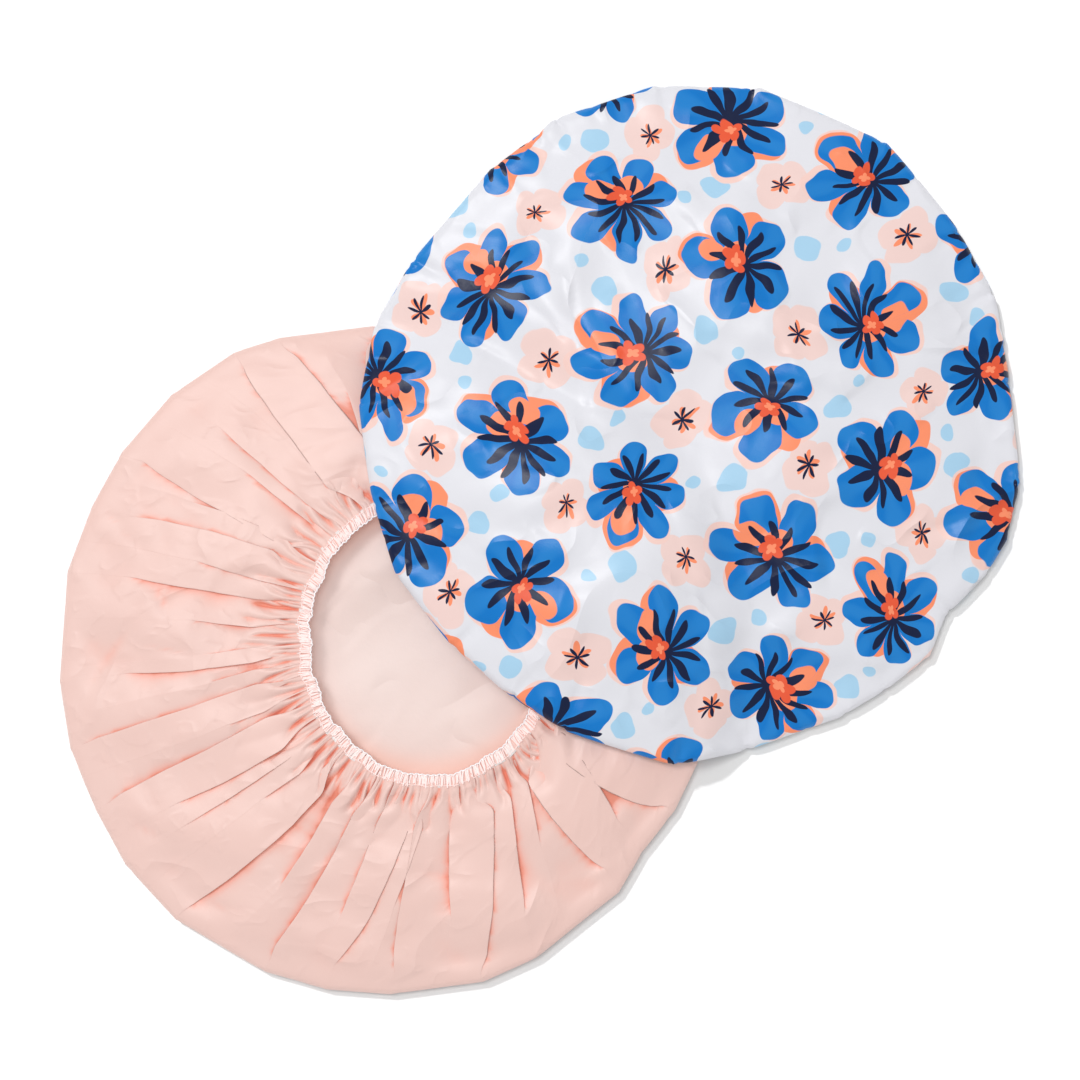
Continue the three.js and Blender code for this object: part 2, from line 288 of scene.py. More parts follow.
@dataclass
class PleatFan:
    """The knife folds of a skirt, which lie on each other like the blades of a fan.

    Round the skirt the cloth is longer than the space it lies in, and the pleats turn back what is
    too long, by their weights. A ring of the skirt is told by its share, 0 at the rim and 1 at the
    hem, and by its ratio, the length of cloth for each length of space.
    """

    turns: Array
    leans: Array
    starts: Array
    weights: Array
    depths: Array
    bends: Array
    cloth_radius: float = 145.0
    drift: float = 0.12
    least_width: float = 0.03
    most_share: float = 0.76
    loss_at_hem: float = 0.62
    most_sway: float = math.radians(1.3)
    sway_share: float = 0.07
    full_depth_width: float = 4.0
    sharing_rounds: int = 4
    edge_steps: tuple[float, ...] = (0.0, 0.4, 1.0, 2.0)
    turned_reach: float = 6.0
    panel_reach: float = 11.0

    @classmethod
    def drawn(cls, rng: np.random.Generator, long_degrees: tuple[float, ...],
              leans: tuple[int, ...], short_count: int, depth: float) -> "PleatFan":
        """Return a fan with a long pleat at each rim corner, and short ones between them.

        Args:
            rng: source of the short pleats and of small differences.
            long_degrees: directions of the long pleats, rising.
            leans: 1 where a long pleat lies over the next one, -1 where it lies under it.
            short_count: number of pleats that start part of the way in.
            depth: mean depth of the pleats, in millimetres.

        Returns:
            The fan, its pleats in the order of their directions.
        """
        aside = 0.26
        turns = np.radians(np.array(long_degrees))
        gaps = gaps_round(turns)
        left = gaps.copy()
        taken = np.zeros(len(turns), int)
        short = []
        for _ in range(short_count):
            widest = int(np.argmax(left))
            moved = 0.0 if taken[widest] == 0 else aside if taken[widest] % 2 == 1 else -aside
            short.append(turns[widest] + gaps[widest] * rng.uniform(0.36, 0.64) + gaps[widest] * moved)
            left[widest] *= 0.5
            taken[widest] += 1
        extra = np.array(short)
        all_turns = np.concatenate([turns, np.mod(extra, TURN)])
        all_leans = np.concatenate([np.array(leans, float), rng.choice([-1.0, 1.0], len(extra))])
        starts = np.concatenate([
            np.where(rng.random(len(turns)) < 0.6, 0.0, rng.uniform(0.05, 0.3, len(turns))),
            rng.uniform(0.3, 0.72, len(extra)),
        ])
        weights = np.concatenate([rng.uniform(0.5, 1.8, len(turns)), rng.uniform(0.5, 1.5, len(extra))])
        depths = depth * rng.uniform(0.65, 1.35, len(all_turns))
        bends = rng.uniform(-1.0, 1.0, len(all_turns))
        order = np.argsort(all_turns)
        return cls(all_turns[order], all_leans[order], starts[order], weights[order],
                   depths[order], bends[order])

    def hidden(self, share: float, ratio: float) -> Array:
        """Return the cloth angle that each pleat turns back, at one ring.

        Args:
            share: the ring's share.
            ratio: the ring's ratio.

        Returns:
            Angles in radians, which together are pi (1 - 1 / ratio).
        """
        total = math.pi * (1.0 - 1.0 / ratio)
        gaps = gaps_round(self.turns)
        before = np.roll(gaps, 1)
        grown = np.maximum(share - self.starts, 0.0)
        raw = self.weights * (gaps + before) * grown
        total *= (1.0 - self.loss_at_hem * ramp(share, 0.8, 0.2)) * smooth(share / 0.1)
        least = self.least_width / self.cloth_radius
        most = self.most_share * np.minimum(gaps, before)
        if raw.sum() <= 0.0:
            return np.full_like(self.turns, least)
        hidden = np.minimum(total * raw / raw.sum(), most)
        for _ in range(self.sharing_rounds):
            room = np.where(grown > 0.0, most - hidden, 0.0)
            hidden += room * min(1.0, max(total - hidden.sum(), 0.0) / max(room.sum(), TINY))
        return np.maximum(hidden, least)

    def ring(self, share: float, ratio: float) -> tuple[Array, Array, Array]:
        """Return the ring's fold edges.

        Args:
            share: the ring's share.
            ratio: the ring's ratio.

        Returns:
            Cloth angles of the fold edges, two for each pleat and one more that closes the ring,
            their angles in space, and their depths.
        """
        hidden = self.hidden(share, ratio)
        true_ratio = 1.0 / (1.0 - hidden.sum() / math.pi)
        gaps = gaps_round(self.turns)
        sway = np.minimum(self.most_sway, self.sway_share * np.minimum(gaps, np.roll(gaps, 1)))
        middle = self.turns + sway * self.bends * np.sin(math.pi * share) ** 2
        first, second = middle - hidden / 2.0, middle + hidden / 2.0
        cloth = np.empty(2 * len(middle) + 1)
        cloth[0:-1:2], cloth[1::2] = first, second
        cloth[-1] = first[0] + TURN
        steps = np.diff(cloth) * true_ratio
        steps[0::2] *= -1.0
        space = cloth[0] + np.concatenate([[0.0], np.cumsum(steps)])
        off = (space[0:-1:2] + space[1::2]) / 2.0 - middle
        space = space - off.mean()
        off = off - off.mean()
        space[0:-1:2] -= (1.0 - self.drift) * off
        space[1::2] -= (1.0 - self.drift) * off
        space[-1] = space[0] + TURN
        width = hidden * self.cloth_radius
        under = self.depths * (1.0 - np.exp(-width / self.full_depth_width))
        depth = np.empty_like(cloth)
        depth[0:-1:2] = np.where(self.leans > 0, 0.0, under)
        depth[1::2] = np.where(self.leans > 0, under, 0.0)
        depth[-1] = depth[0]
        return cloth, space, depth

    def columns(self, share: float, ratio: float, cloth_radius: float, between: int) -> tuple[Array, Array]:
        """Return cloth angles for a ring's points, which crowd at the fold edges.

        Args:
            share: the ring's share.
            ratio: the ring's ratio.
            cloth_radius: radius of the ring in the flat cloth, in millimetres.
            between: mean number of points on a panel away from its edges.

        Returns:
            The angles, and keys from 0 to one turn that are alike on all rings at the fold edges.
        """
        cloth, _, _ = self.ring(share, ratio)
        gaps = gaps_round(self.turns)
        counts = np.maximum(np.round(between * gaps / gaps.mean()), 2).astype(int)
        angles, keys = [], []
        for i, count in enumerate(counts):
            back, panel = np.diff(cloth[2 * i:2 * i + 3]) * cloth_radius
            back_near = np.array(self.edge_steps[:3]) * min(1.0, back / self.turned_reach)
            back_at = np.concatenate([back_near, [back / 2.0], back - back_near[:0:-1]])
            near = np.array(self.edge_steps) * min(1.0, panel / self.panel_reach)
            inner = np.linspace(near[-1], panel - near[-1], count + 2)[1:-1]
            panel_at = np.concatenate([near, inner, panel - near[:0:-1]])
            angles.append(cloth[2 * i] + back_at / cloth_radius)
            angles.append(cloth[2 * i + 1] + panel_at / cloth_radius)
            keys.append(2.0 * i + back_at / back)
            keys.append(2.0 * i + 1.0 + panel_at / panel)
        return np.concatenate(angles), np.concatenate(keys) / (2.0 * len(counts)) * TURN

    @staticmethod
    def bow(part: Array) -> Array:
        """Return a panel's depth over that of its tucked edge: a mean of a line and a cubic."""
        return 0.55 * part + 0.45 * part ** 3

    def place(self, turn: Array, share: float, ratio: float) -> tuple[Array, Array]:
        """Return a ring's points: angles in space and depths.

        A panel bows up from its tucked edge, and where the cloth turns back it runs straight.

        Args:
            turn: cloth angles, from the ring's first fold edge on.
            share: the ring's share.
            ratio: the ring's ratio.

        Returns:
            The angles in radians and the depths in millimetres.
        """
        cloth, space, depth = self.ring(share, ratio)
        at = cloth[0] + np.mod(turn - cloth[0], TURN)
        place = np.interp(at, cloth, space) + (turn - at)
        segment = np.clip(np.searchsorted(cloth, at, side="right") - 1, 0, len(cloth) - 2)
        length = np.maximum(np.diff(cloth)[segment], TINY)
        part = np.clip((at - cloth[segment]) / length, 0.0, 1.0)
        start, end = depth[segment], depth[segment + 1]
        straight = start * (1.0 - part) + end * part
        bowed = start * self.bow(1.0 - part) + end * self.bow(part)
        return place, np.where(segment % 2 == 0, straight, bowed)


# Cap shapes in three dimensions: a place in plan, and a height above the table

@dataclass(frozen=True)
class CapShape:
    """The outside of a cap that lies flat on the table with its opening up.

    Depths are measured inwards from the shell's outside, so they are never negative.
    """

    plan: CapPlan
    side: Side = Side.OPEN_UP
    rim_height: float = 7.5
    hem_height: float = 18.0
    fold_power: float = 1.35
    least_fold: float = 0.15
    wobble_seed: int = 5
    wobble_counts: tuple[int, int] = (46, 101)
    wobble_sizes: Pair = (0.75, 0.45)

    def crown_height(self, x: Array, y: Array, reach: Array) -> Array:
        """Return the height of the crown's outside."""
        return np.zeros(np.broadcast(x, y, reach).shape)

    def skirt_height(self, x: Array, y: Array, share: Array) -> Array:
        """Return the height of the skirt's outside, h0 + (h1 - h0) s (2 - s)."""
        return self.rim_height + (self.hem_height - self.rim_height) * slope(share)

    def wobble(self, turn: Array) -> Array:
        """Return how far the gathers push the opening's edge in or out."""
        rng, sizes, counts = np.random.default_rng(self.wobble_seed), self.wobble_sizes, self.wobble_counts
        return sum(size * RingNoise(rng, count).at(turn) for size, count in zip(sizes, counts))

    def crown(self, turn: Array, reach: Array, depth: Array) -> Array:
        """Return points of the crown at a share of the way from its centre to the fold."""
        x, y = self.plan.crown(turn, reach)
        return np.stack([x, y, self.crown_height(x, y, reach) + self.side.value * depth], axis=-1)

    def rim(self, turn: Array, bend: float, depth: Array) -> Array:
        """Return points round the rim's fold.

        The fold's section is |x / f|^p + |z / f|^p = 1, which is sharper at its tip than a circle.

        Args:
            turn: directions from the cap's centre.
            bend: place round the fold, from -90 degrees at the crown to 90 at the skirt, in radians.
            depth: the points' depth.

        Returns:
            An array of points.
        """
        fold = np.maximum(self.plan.rim_fold - depth, self.least_fold)
        x0, y0 = self.plan.crown(turn, np.ones_like(turn))
        middle = (self.crown_height(x0, y0, np.ones_like(turn))
                  + self.skirt_height(x0, y0, np.zeros_like(turn))) / 2.0
        power = 2.0 / self.fold_power
        out = fold * abs(math.cos(bend)) ** power
        rise = fold * abs(math.sin(bend)) ** power * math.copysign(1.0, math.sin(bend))
        x, y = self.plan.past_fold(turn, out)
        return np.stack([x, y, middle + self.side.value * rise], axis=-1)

    def skirt(self, turn: Array, share: Array, depth: Array) -> Array:
        """Return points of the skirt at a share of the way from the rim's fold to the hem.

        Args:
            turn: directions from the centres.
            share: 0 at the rim's fold, 1 at the hem.
            depth: the points' depth.

        Returns:
            An array of points.
        """
        x, y = self.plan.skirt(turn, share)
        near = ramp(share, 0.86, 0.14) * self.wobble(turn)
        height = self.skirt_height(x, y, share) - self.side.value * depth
        return np.stack([x + near * np.cos(turn), y + near * np.sin(turn), height], axis=-1)

    def hem(self, turn: Array, out: Array, depth: Array) -> Array:
        """Return points of the hem at a distance out from the opening's edge.

        Args:
            turn: directions from the opening's centre.
            out: distances from its edge.
            depth: the points' depth.

        Returns:
            An array of points.
        """
        x1, y1 = self.plan.hem(turn, self.plan.hem_width)
        x, y = self.plan.hem(turn, out + self.wobble(turn))
        height = self.skirt_height(x1, y1, np.ones_like(turn)) - self.side.value * depth
        return np.stack([x, y, height], axis=-1)


@dataclass(frozen=True)
class DrapedShape(CapShape):
    """The outside of a cap that lies opening down, partly on another cap and partly on the table."""

    under: CapShape | None = None
    crown_rise: float = 20.0
    hem_lift: float = 3.2
    under_top: float = 18.95
    clearance: float = 0.9
    reach: float = 34.0
    under_skirt: float = 91.3

    def rest_height(self, x: Array, y: Array) -> Array:
        """Return the height of what the cap lies on.

        That is the other cap's skirt, level across its opening; past its rim a smooth step leads down.

        Args:
            x, y: places in plan.

        Returns:
            The heights.
        """
        share = self.under.plan.share_at(x, y)
        low, top = self.under.rim_height, self.under_top
        on_cap = low + (top - low) * slope(np.clip(share, 0.0, 1.0)) + self.clearance
        past = (low + self.clearance) * (1.0 - smooth(-share * self.under_skirt / self.reach))
        return np.where(share >= 0.0, on_cap, past)

    def crown_height(self, x: Array, y: Array, reach: Array) -> Array:
        """Return the height of the domed crown's outside, rest + rim + rise (1 - s^2)."""
        return self.rest_height(x, y) + self.rim_height + self.crown_rise * (1.0 - reach * reach)

    def skirt_height(self, x: Array, y: Array, share: Array) -> Array:
        """Return the height of the skirt's outside, rest + lift s (2 - s)."""
        return self.rest_height(x, y) + self.hem_lift * slope(share)


# Meshes

class RingMesh:
    """A surface that is built ring by ring, and joins rings of unlike numbers of points too."""

    SAME_START = 0.2

    def __init__(self) -> None:
        """Start an empty surface."""
        self.points: list[Array] = []
        self.flat: list[Array] = []
        self.values: list[Array] = []
        self.faces: list[Array] = []
        self.count = 0
        self.last: tuple[Array, Array] | None = None

    def rekey(self, key: Array) -> None:
        """Give the last ring's points the keys by which the next ring is joined to it."""
        self.last = (key, self.last[1])

    def add(self, turn: Array, points: Array, flat: Array, value: Array) -> None:
        """Add a ring, and join it to the one before.

        Args:
            turn: keys of the points, rising over one turn from any start.
            points: places in millimetres.
            flat: places in the flat cloth, in millimetres.
            value: painted shade of each point, from 0 in the open to 1 where it lies deep in shade.
        """
        ids = self.count + np.arange(len(turn))
        self.points.append(points)
        self.flat.append(flat)
        self.values.append(np.broadcast_to(value, turn.shape))
        self.count += len(turn)
        if self.last is not None:
            last_turn, last_ids = self.last
            if len(last_ids) == len(ids) and abs(last_turn[0] - turn[0]) < self.SAME_START:
                corners = [last_ids, ids, np.roll(ids, -1), np.roll(last_ids, -1)]
                self.faces.append(np.stack(corners, axis=1))
            else:
                self.faces.append(self._joined(last_turn, last_ids, turn, ids))
        self.last = (turn, ids)

    @staticmethod
    def _joined(turn_a: Array, ids_a: Array, turn_b: Array, ids_b: Array) -> Array:
        """Return triangles between two rings, one for each point of either ring.

        Args:
            turn_a, ids_a: keys and numbers of the first ring's points.
            turn_b, ids_b: keys and numbers of the second ring's points.

        Returns:
            An array of four point numbers for each triangle, the last one twice.
        """
        order_a, order_b = np.argsort(np.mod(turn_a, TURN)), np.argsort(np.mod(turn_b, TURN))
        at_a, at_b = np.mod(turn_a, TURN)[order_a], np.mod(turn_b, TURN)[order_b]
        ids_a, ids_b = ids_a[order_a], ids_b[order_b]
        near_b = ids_b[(np.searchsorted(at_b, at_a, side="left") - 1) % len(ids_b)]
        near_a = ids_a[(np.searchsorted(at_a, at_b, side="right") - 1) % len(ids_a)]
        first = np.stack([np.roll(ids_a, 1), near_b, ids_a, ids_a], axis=1)
        second = np.stack([np.roll(ids_b, 1), ids_b, near_a, near_a], axis=1)
        return np.concatenate([first, second])

    def build(self, name: str, flip: bool) -> Thing:
        """Return the surface as an object.

        Args:
            name: the object's name.
            flip: whether the faces are turned over.

        Returns:
            The object.
        """
        faces = np.concatenate(self.faces)
        if flip:
            faces = faces[:, ::-1]
        return mesh_object(name, np.concatenate(self.points), faces, np.concatenate(self.flat),
                           np.concatenate(self.values))


def mesh_object(name: str, points: Array, faces: Array, flat: Array | None = None,
                fold: Array | None = None) -> Thing:
    """Return a smooth-shaded object from points in millimetres.

    Args:
        name: the object's name.
        points: an (n, 3) array of places.
        faces: an (m, 4) array of point numbers; a triangle has a number twice in a row.
        flat: places in the flat cloth, in millimetres, which become the UV map in metres.
        fold: painted shade of each point, from 0 to 1, kept as the fold attribute that the cloth reads.

    Returns:
        The object, linked to the scene.
    """
    mesh = bpy.data.meshes.new(name)
    mesh.vertices.add(len(points))
    mesh.vertices.foreach_set("co", (points * MM).astype(np.float32).ravel())
    keep = np.ones(faces.shape, bool)
    keep[:, 1:] = faces[:, 1:] != faces[:, :-1]
    counts = keep.sum(axis=1)
    corners = faces[keep]
    mesh.loops.add(len(corners))
    mesh.loops.foreach_set("vertex_index", corners.astype(np.int32))
    mesh.polygons.add(len(faces))
    starts = np.concatenate([[0], np.cumsum(counts)[:-1]]).astype(np.int32)
    mesh.polygons.foreach_set("loop_start", starts)
    mesh.polygons.foreach_set("use_smooth", np.ones(len(faces), bool))
    if flat is not None:
        layer = mesh.uv_layers.new(name="cloth")
        layer.data.foreach_set("uv", (flat[corners] * MM).astype(np.float32).ravel())
    # The fold attribute carries painted shade to the material.
    if fold is not None:
        attribute = mesh.attributes.new("fold", "FLOAT", "POINT")
        attribute.data.foreach_set("value", fold.astype(np.float32))
    mesh.update()
    mesh.validate()
    thing = bpy.data.objects.new(name, mesh)
    bpy.context.scene.collection.objects.link(thing)
    return thing


# Cloth of the caps

@dataclass(frozen=True)
class Crease:
    """A soft fold of the cloth from one place to another; a raised one has a height below 0."""

    start: Pair
    end: Pair
    width: float
    height: float
    length_share: float = 0.55

    def row(self) -> tuple[float, ...]:
        """Work out the numbers by which Wrinkles draws the fold.

        Returns:
            Its direction, its middle, half its length, its width and its height.
        """
        x, y = self.end[0] - self.start[0], self.end[1] - self.start[1]
        middle = ((self.start[0] + self.end[0]) / 2.0, (self.start[1] + self.end[1]) / 2.0)
        return math.atan2(y, x), *middle, self.length_share * math.hypot(x, y), self.width, self.height


@dataclass
class Wrinkles:
    """Soft wrinkles and pressed creases of a flat cloth, in millimetres of height."""

    broad: PlaneNoise
    small: PlaneNoise
    creases: Array
    broad_height: float
    small_height: float

    @classmethod
    def drawn(cls, seed: int, broad: float, small: float, crease_count: int,
              heights: Triple, lengths: Pair = (18.0, 60.0),
              placed: tuple[Crease, ...] = ()) -> "Wrinkles":
        """Return wrinkles from a seed.

        Args:
            seed: seed of the draw.
            broad: wavelength of the broad wrinkles.
            small: wavelength of the small ones.
            crease_count: number of drawn creases.
            heights: heights of the broad wrinkles, the small ones and those creases.
            lengths: least and greatest half length of a drawn crease.
            placed: creases that lie where they are seen.

        Returns:
            The wrinkles.
        """
        rng = np.random.default_rng(seed)
        spread = 210.0
        ranges = ((0.0, TURN), (-spread, spread), (-spread, spread), lengths, (1.2, 3.2))
        drawn = [rng.uniform(*limits, crease_count) for limits in ranges]
        drawn.append(rng.choice([-1.0, 1.0], crease_count) * rng.uniform(0.5, 1.0, crease_count))
        creases = np.stack(drawn, axis=1)
        creases[:, 5] *= heights[2]
        rows = np.array([crease.row() for crease in placed]).reshape(-1, 6)
        return cls(PlaneNoise(seed + 1, broad), PlaneNoise(seed + 2, small),
                   np.concatenate([creases, rows]), heights[0], heights[1])

    def at(self, flat: Array) -> Array:
        """Return the heights at places of the flat cloth.

        A crease is a straight ridge of h / (1 + (across / w)^2), which fades along its length as
        exp(-(along / l)^2).

        Args:
            flat: places in the flat cloth.

        Returns:
            The heights in millimetres.
        """
        x, y = flat[..., 0], flat[..., 1]
        total = self.broad_height * self.broad.at(x, y) + self.small_height * self.small.at(x, y)
        for turn, x0, y0, length, width, height in self.creases:
            along = (x - x0) * math.cos(turn) + (y - y0) * math.sin(turn)
            across = (y - y0) * math.cos(turn) - (x - x0) * math.sin(turn)
            ridge = np.exp(-((along / length) ** 2)) / (1.0 + (across / width) ** 2)
            total += height * ridge
        return total


@dataclass
class FineGathers:
    """The crumple of small folds next to the hem, where the seam bunches the cloth up."""

    count: int
    height: float
    start: RingNoise
    first: float
    size: RingNoise
    slant: float
    growth: float = 0.09

    @classmethod
    def drawn(cls, rng: np.random.Generator, count: int, height: float, first: float,
              slant: float = 0.0) -> "FineGathers":
        """Return gathers that start at about a share of the way from the rim to the hem."""
        return cls(count, height, RingNoise(rng, count), first, RingNoise(rng, count), slant)

    def at(self, turn: Array, share: float) -> Array:
        """Return how deep the gathers are at cloth angles of one ring.

        Their section is 1 - |sin(n t / 2)|^0.8: round ridges with a sharp valley between them.

        Args:
            turn: cloth angles.
            share: the ring's place, 0 at the rim and 1 at the hem.

        Returns:
            The depths in millimetres.
        """
        shifted = turn + self.slant * (1.0 - share)
        wave = 1.0 - np.abs(np.sin(self.count * shifted / 2.0)) ** 0.8
        start = self.first + self.growth * self.start.at(shifted)
        grown = ramp(share, start, self.growth)
        return self.height * grown * (0.7 + 0.65 * self.size.at(shifted)) * 2.0 * wave


@dataclass(frozen=True)
class SkirtRing:
    """One ring of a skirt: cloth angles, joining keys, angles in space, depths and painted fold shades."""

    share: float
    turn: Array
    key: Array
    space: Array
    depth: Array
    tint: Array


@dataclass
class CapCloth:
    """One of a cap's two sheets: its shape, its folds and where it lies inside the shell."""

    name: str
    shape: CapShape
    layer: Layer
    fan: PleatFan
    gathers: tuple[FineGathers, ...]
    wrinkles: Wrinkles
    crown_wrinkles: Wrinkles
    crown_depth: float
    crown_sink: float
    crown_room: float
    skirt_depth: float
    hem_depth: float
    rim_radius: float = 145.0
    cut_radius: float = 239.0
    edge_out: float = 0.95
    rim_creases: tuple[Array, Array, Array] | None = None
    near_rim: float = 0.12
    near_hem: float = 0.78
    calm_length: float = 0.2
    fold_arc: float = 4.5
    skirt_room: float = 0.0
    crown_gap: float = 0.8
    least_room: float = 1.5
    layer_gap: float = 1.0
    lining_shade: float = 0.65
    row_count: int = 50
    hem_rows: int = 20
    hem_rings: int = 7
    crown_rings: int = 28
    crown_columns: int = 420
    middle_columns: tuple[int, int] = (48, 120)
    fine_from: Pair = (0.64, 0.8)
    fine_columns: tuple[int, int, int] = (6, 14, 23)
    outer: "CapCloth | None" = None
    edge: tuple[Array, Array] = field(default_factory=lambda: (np.zeros(1), np.zeros(1)))

    def hem_depths(self, turn: Array) -> Array:
        """Return how deep the sheet's ripples lie at the hem, in directions from the opening."""
        return np.interp(turn, *self.edge, period=TURN)

    def ratio(self, share: float) -> float:
        """Return the length of cloth round a ring for each length of space.

        Args:
            share: the ring's place, 0 at the rim and 1 at the hem.

        Returns:
            The ratio, above 1.
        """
        cloth = self.rim_radius + share * (self.cut_radius - self.rim_radius)
        inner = self.shape.plan.opening_radius + self.shape.plan.hem_width
        space = (self.rim_radius - self.shape.plan.rim_fold) * (1.0 - share) + inner * share
        return cloth / space

    def flat(self, turn: Array, share: Array | float, reach: float = 1.0, bend: float = 1.0) -> Array:
        """Return places in the flat cut, whose middle is off the crown's middle.

        Args:
            turn: cloth angles.
            share: place on the skirt, 0 at the rim.
            reach: place on the crown, 1 at the rim.
            bend: place round the rim's fold, from -1 at the crown to 1 at the skirt.

        Returns:
            An array of x and y in millimetres.
        """
        way = np.stack([np.cos(turn), np.sin(turn)], axis=-1)
        rim = np.array(self.shape.plan.opening_shift) + way * (
            (self.shape.plan.outline.radius_at(turn) + self.fold_arc * bend) * reach)[..., None]
        part = np.broadcast_to(share, turn.shape)[..., None]
        return rim * (1.0 - part) + self.cut_radius * way * part

    def crown_folds(self, turn: Array, reach: Array | float) -> Array:
        """Return the depth of the short creases that run in from the rim.

        Args:
            turn: cloth angles.
            reach: share of the way from the middle to the fold.

        Returns:
            The depths in millimetres.
        """
        if self.rim_creases is None:
            return np.zeros_like(turn)
        turns, lengths, heights = self.rim_creases
        away = (np.mod(turn[:, None] - turns[None, :] + math.pi, TURN) - math.pi) * self.rim_radius
        inside = (1.0 - np.asarray(reach)[..., None]) * self.rim_radius
        grown = smooth(1.0 - inside / lengths)
        width = 1.2 + 3.0 * (1.0 - grown)
        return (heights * grown / (1.0 + (away / width) ** 2)).sum(axis=1)

    def crown_shade(self, points: Array) -> Array:
        """Return the lining crown's painted shade, from 0 to 1: more where it lies far back under the
        skirt.

        Args:
            points: points of the crown.

        Returns:
            One number for each point.
        """
        if self.layer is Layer.SHELL:
            return np.zeros(len(points))
        x, y = self.shape.plan.hem(np.zeros(1), -self.shape.plan.hem_radius(np.zeros(1)))
        away = np.hypot(points[:, 0] - x, points[:, 1] - y) / self.shape.plan.opening_radius
        return self.lining_shade * ramp(away, 0.8, 0.3)

    def crown_depths(self, turn: Array, reach: Array | float) -> Array:
        """Return how deep the sheet's crown lies inside the shell's outside.

        Args:
            turn: cloth angles.
            reach: share of the way from the middle to the fold.

        Returns:
            The depths in millimetres.
        """
        flat = self.flat(turn, 0.0, reach, -1.0)
        height = self.crown_wrinkles.at(flat) * smooth((1.03 - reach) / self.near_rim)
        height = self.crown_room * np.tanh(height / self.crown_room)
        depth = self.crown_depth + self.crown_sink * smooth((1.0 - reach) / self.near_rim) + height
        depth = np.maximum(depth + self.crown_folds(turn, reach), 0.0)
        if self.outer is None:
            return depth
        return np.maximum(depth, self.outer.crown_depths(turn, reach) + self.layer_gap)

    def crown_ring(self, mesh: RingMesh, reach: float, turn: Array) -> None:
        """Add a ring of the crown.

        Args:
            mesh: the sheet's surface.
            reach: the ring's share of the way from the crown's middle to the fold.
            turn: cloth angles of the ring's points.
        """
        points = self.shape.crown(turn, np.full_like(turn, reach), self.crown_depths(turn, reach))
        mesh.add(turn, points, self.flat(turn, 0.0, reach, -1.0), self.crown_shade(points))

    @staticmethod
    def painted_fold_shade(space: Array, depth: Array, radius: float) -> Array:
        """Return the painted shade of a ring's points, from 0 in the open to 1 deep in its folds.

        A point is shaded where it lies below the ring's upper side, averaged over a narrow and a broad
        width, or where another layer covers it.

        Args:
            space: angles in space.
            depth: depths below the shell's outside, in millimetres.
            radius: the ring's mean radius in space.

        Returns:
            One number for each point.
        """
        bins = 1440
        blurs = ((1.6, 1.7), (9.0, 1.9))
        hollow_share, covered_share = 0.74, 0.85
        at = np.mod(np.floor(space / TURN * bins).astype(int), bins)
        top = np.full(bins, np.inf)
        np.minimum.at(top, at, depth)
        known = np.flatnonzero(np.isfinite(top))
        top = np.interp(np.arange(bins), known, top[known], period=bins)
        wave = np.fft.rfft(top)
        number = np.arange(len(wave)) / radius
        total = np.zeros_like(depth)
        for width, scale in blurs:
            mean = np.fft.irfft(wave * np.exp(-0.5 * (number * width) ** 2), bins)
            total += np.clip((depth - mean[at]) / scale, 0.0, 1.0)
        covered = ramp(depth - top[at], 0.3, 0.4)
        return np.clip(np.maximum(hollow_share * total, covered_share * covered), 0.0, 1.0)

    def skirt_rings(self) -> list[SkirtRing]:
        """Return the skirt's rings, from the rim to the hem.

        Returns:
            The rings.
        """
        plan = self.shape.plan
        shares = np.concatenate([
            np.linspace(0.0, self.near_hem, self.row_count - self.hem_rows, endpoint=False),
            np.linspace(self.near_hem, 1.0, self.hem_rows),
        ])
        inner = plan.opening_radius + plan.hem_width
        rings = []
        for share in shares:
            ratio = self.ratio(share)
            radius = self.rim_radius + share * (self.cut_radius - self.rim_radius)
            between = self.fine_columns[sum(share > limit for limit in self.fine_from)]
            turn, key = self.fan.columns(share, ratio, radius, between)
            space, fold = self.fan.place(turn, share, ratio)
            if share == 0.0:
                space = turn
            calm = ramp(share, 0.02, 0.1)
            bunched = ramp(share, self.near_hem, self.calm_length)
            depth = fold * (0.35 + 0.65 * smooth(share / 0.3)) * (1.0 - 0.7 * bunched) + 0.45
            depth = depth + self.skirt_room * calm * (1.0 - bunched)
            place = np.stack(plan.skirt(space, np.full_like(space, share)), axis=-1)
            depth = depth + calm * self.wrinkles.at(place) * (1.0 - 0.5 * ramp(share, 0.8, 0.2))
            crumple = sum(gathers.at(turn, share) for gathers in self.gathers)
            depth = (depth + crumple) * (1.0 - 0.5 * ramp(share, 0.95, 0.05))
            # Painted shade of the ring's points, which the fold attribute carries to the material.
            tint = self.painted_fold_shade(space, depth, self.rim_radius * (1.0 - share) + inner * share)
            rings.append(SkirtRing(share, turn, key, space, depth, tint))
        return rings

    @staticmethod
    def softened(points: Array) -> Array:
        """Return a ring's points, each moved half of the way to the mean of its neighbours."""
        return 0.5 * points + 0.25 * (np.roll(points, 1, axis=0) + np.roll(points, -1, axis=0))

    def skirt_limit(self, x: Array, y: Array, share: float) -> Array:
        """Return the greatest depth at which the skirt still lies outside the crown's cloth.

        Args:
            x, y: places in plan.
            share: the ring's place, 0 at the rim and 1 at the hem.

        Returns:
            The depths in millimetres.
        """
        plan = self.shape.plan
        dx, dy = x - plan.centre[0], y - plan.centre[1]
        turn = np.arctan2(dy, dx)
        reach = np.minimum(np.hypot(dx, dy) / (plan.outline.radius_at(turn) - plan.rim_fold), 1.0)
        apart = self.shape.skirt_height(x, y, share) - self.shape.crown_height(x, y, reach)
        room = self.shape.side.value * apart - self.crown_depths(turn, reach) - self.crown_gap
        return np.maximum(room, self.least_room)

    def base_depth(self, share: Array) -> Array:
        """Return how deep the sheet lies under the shell's outside, without its folds."""
        deep = self.crown_depth + (self.skirt_depth - self.crown_depth) * smooth(share / 0.22)
        return deep + (self.hem_depth - deep) * ramp(share, 0.88, 0.12)

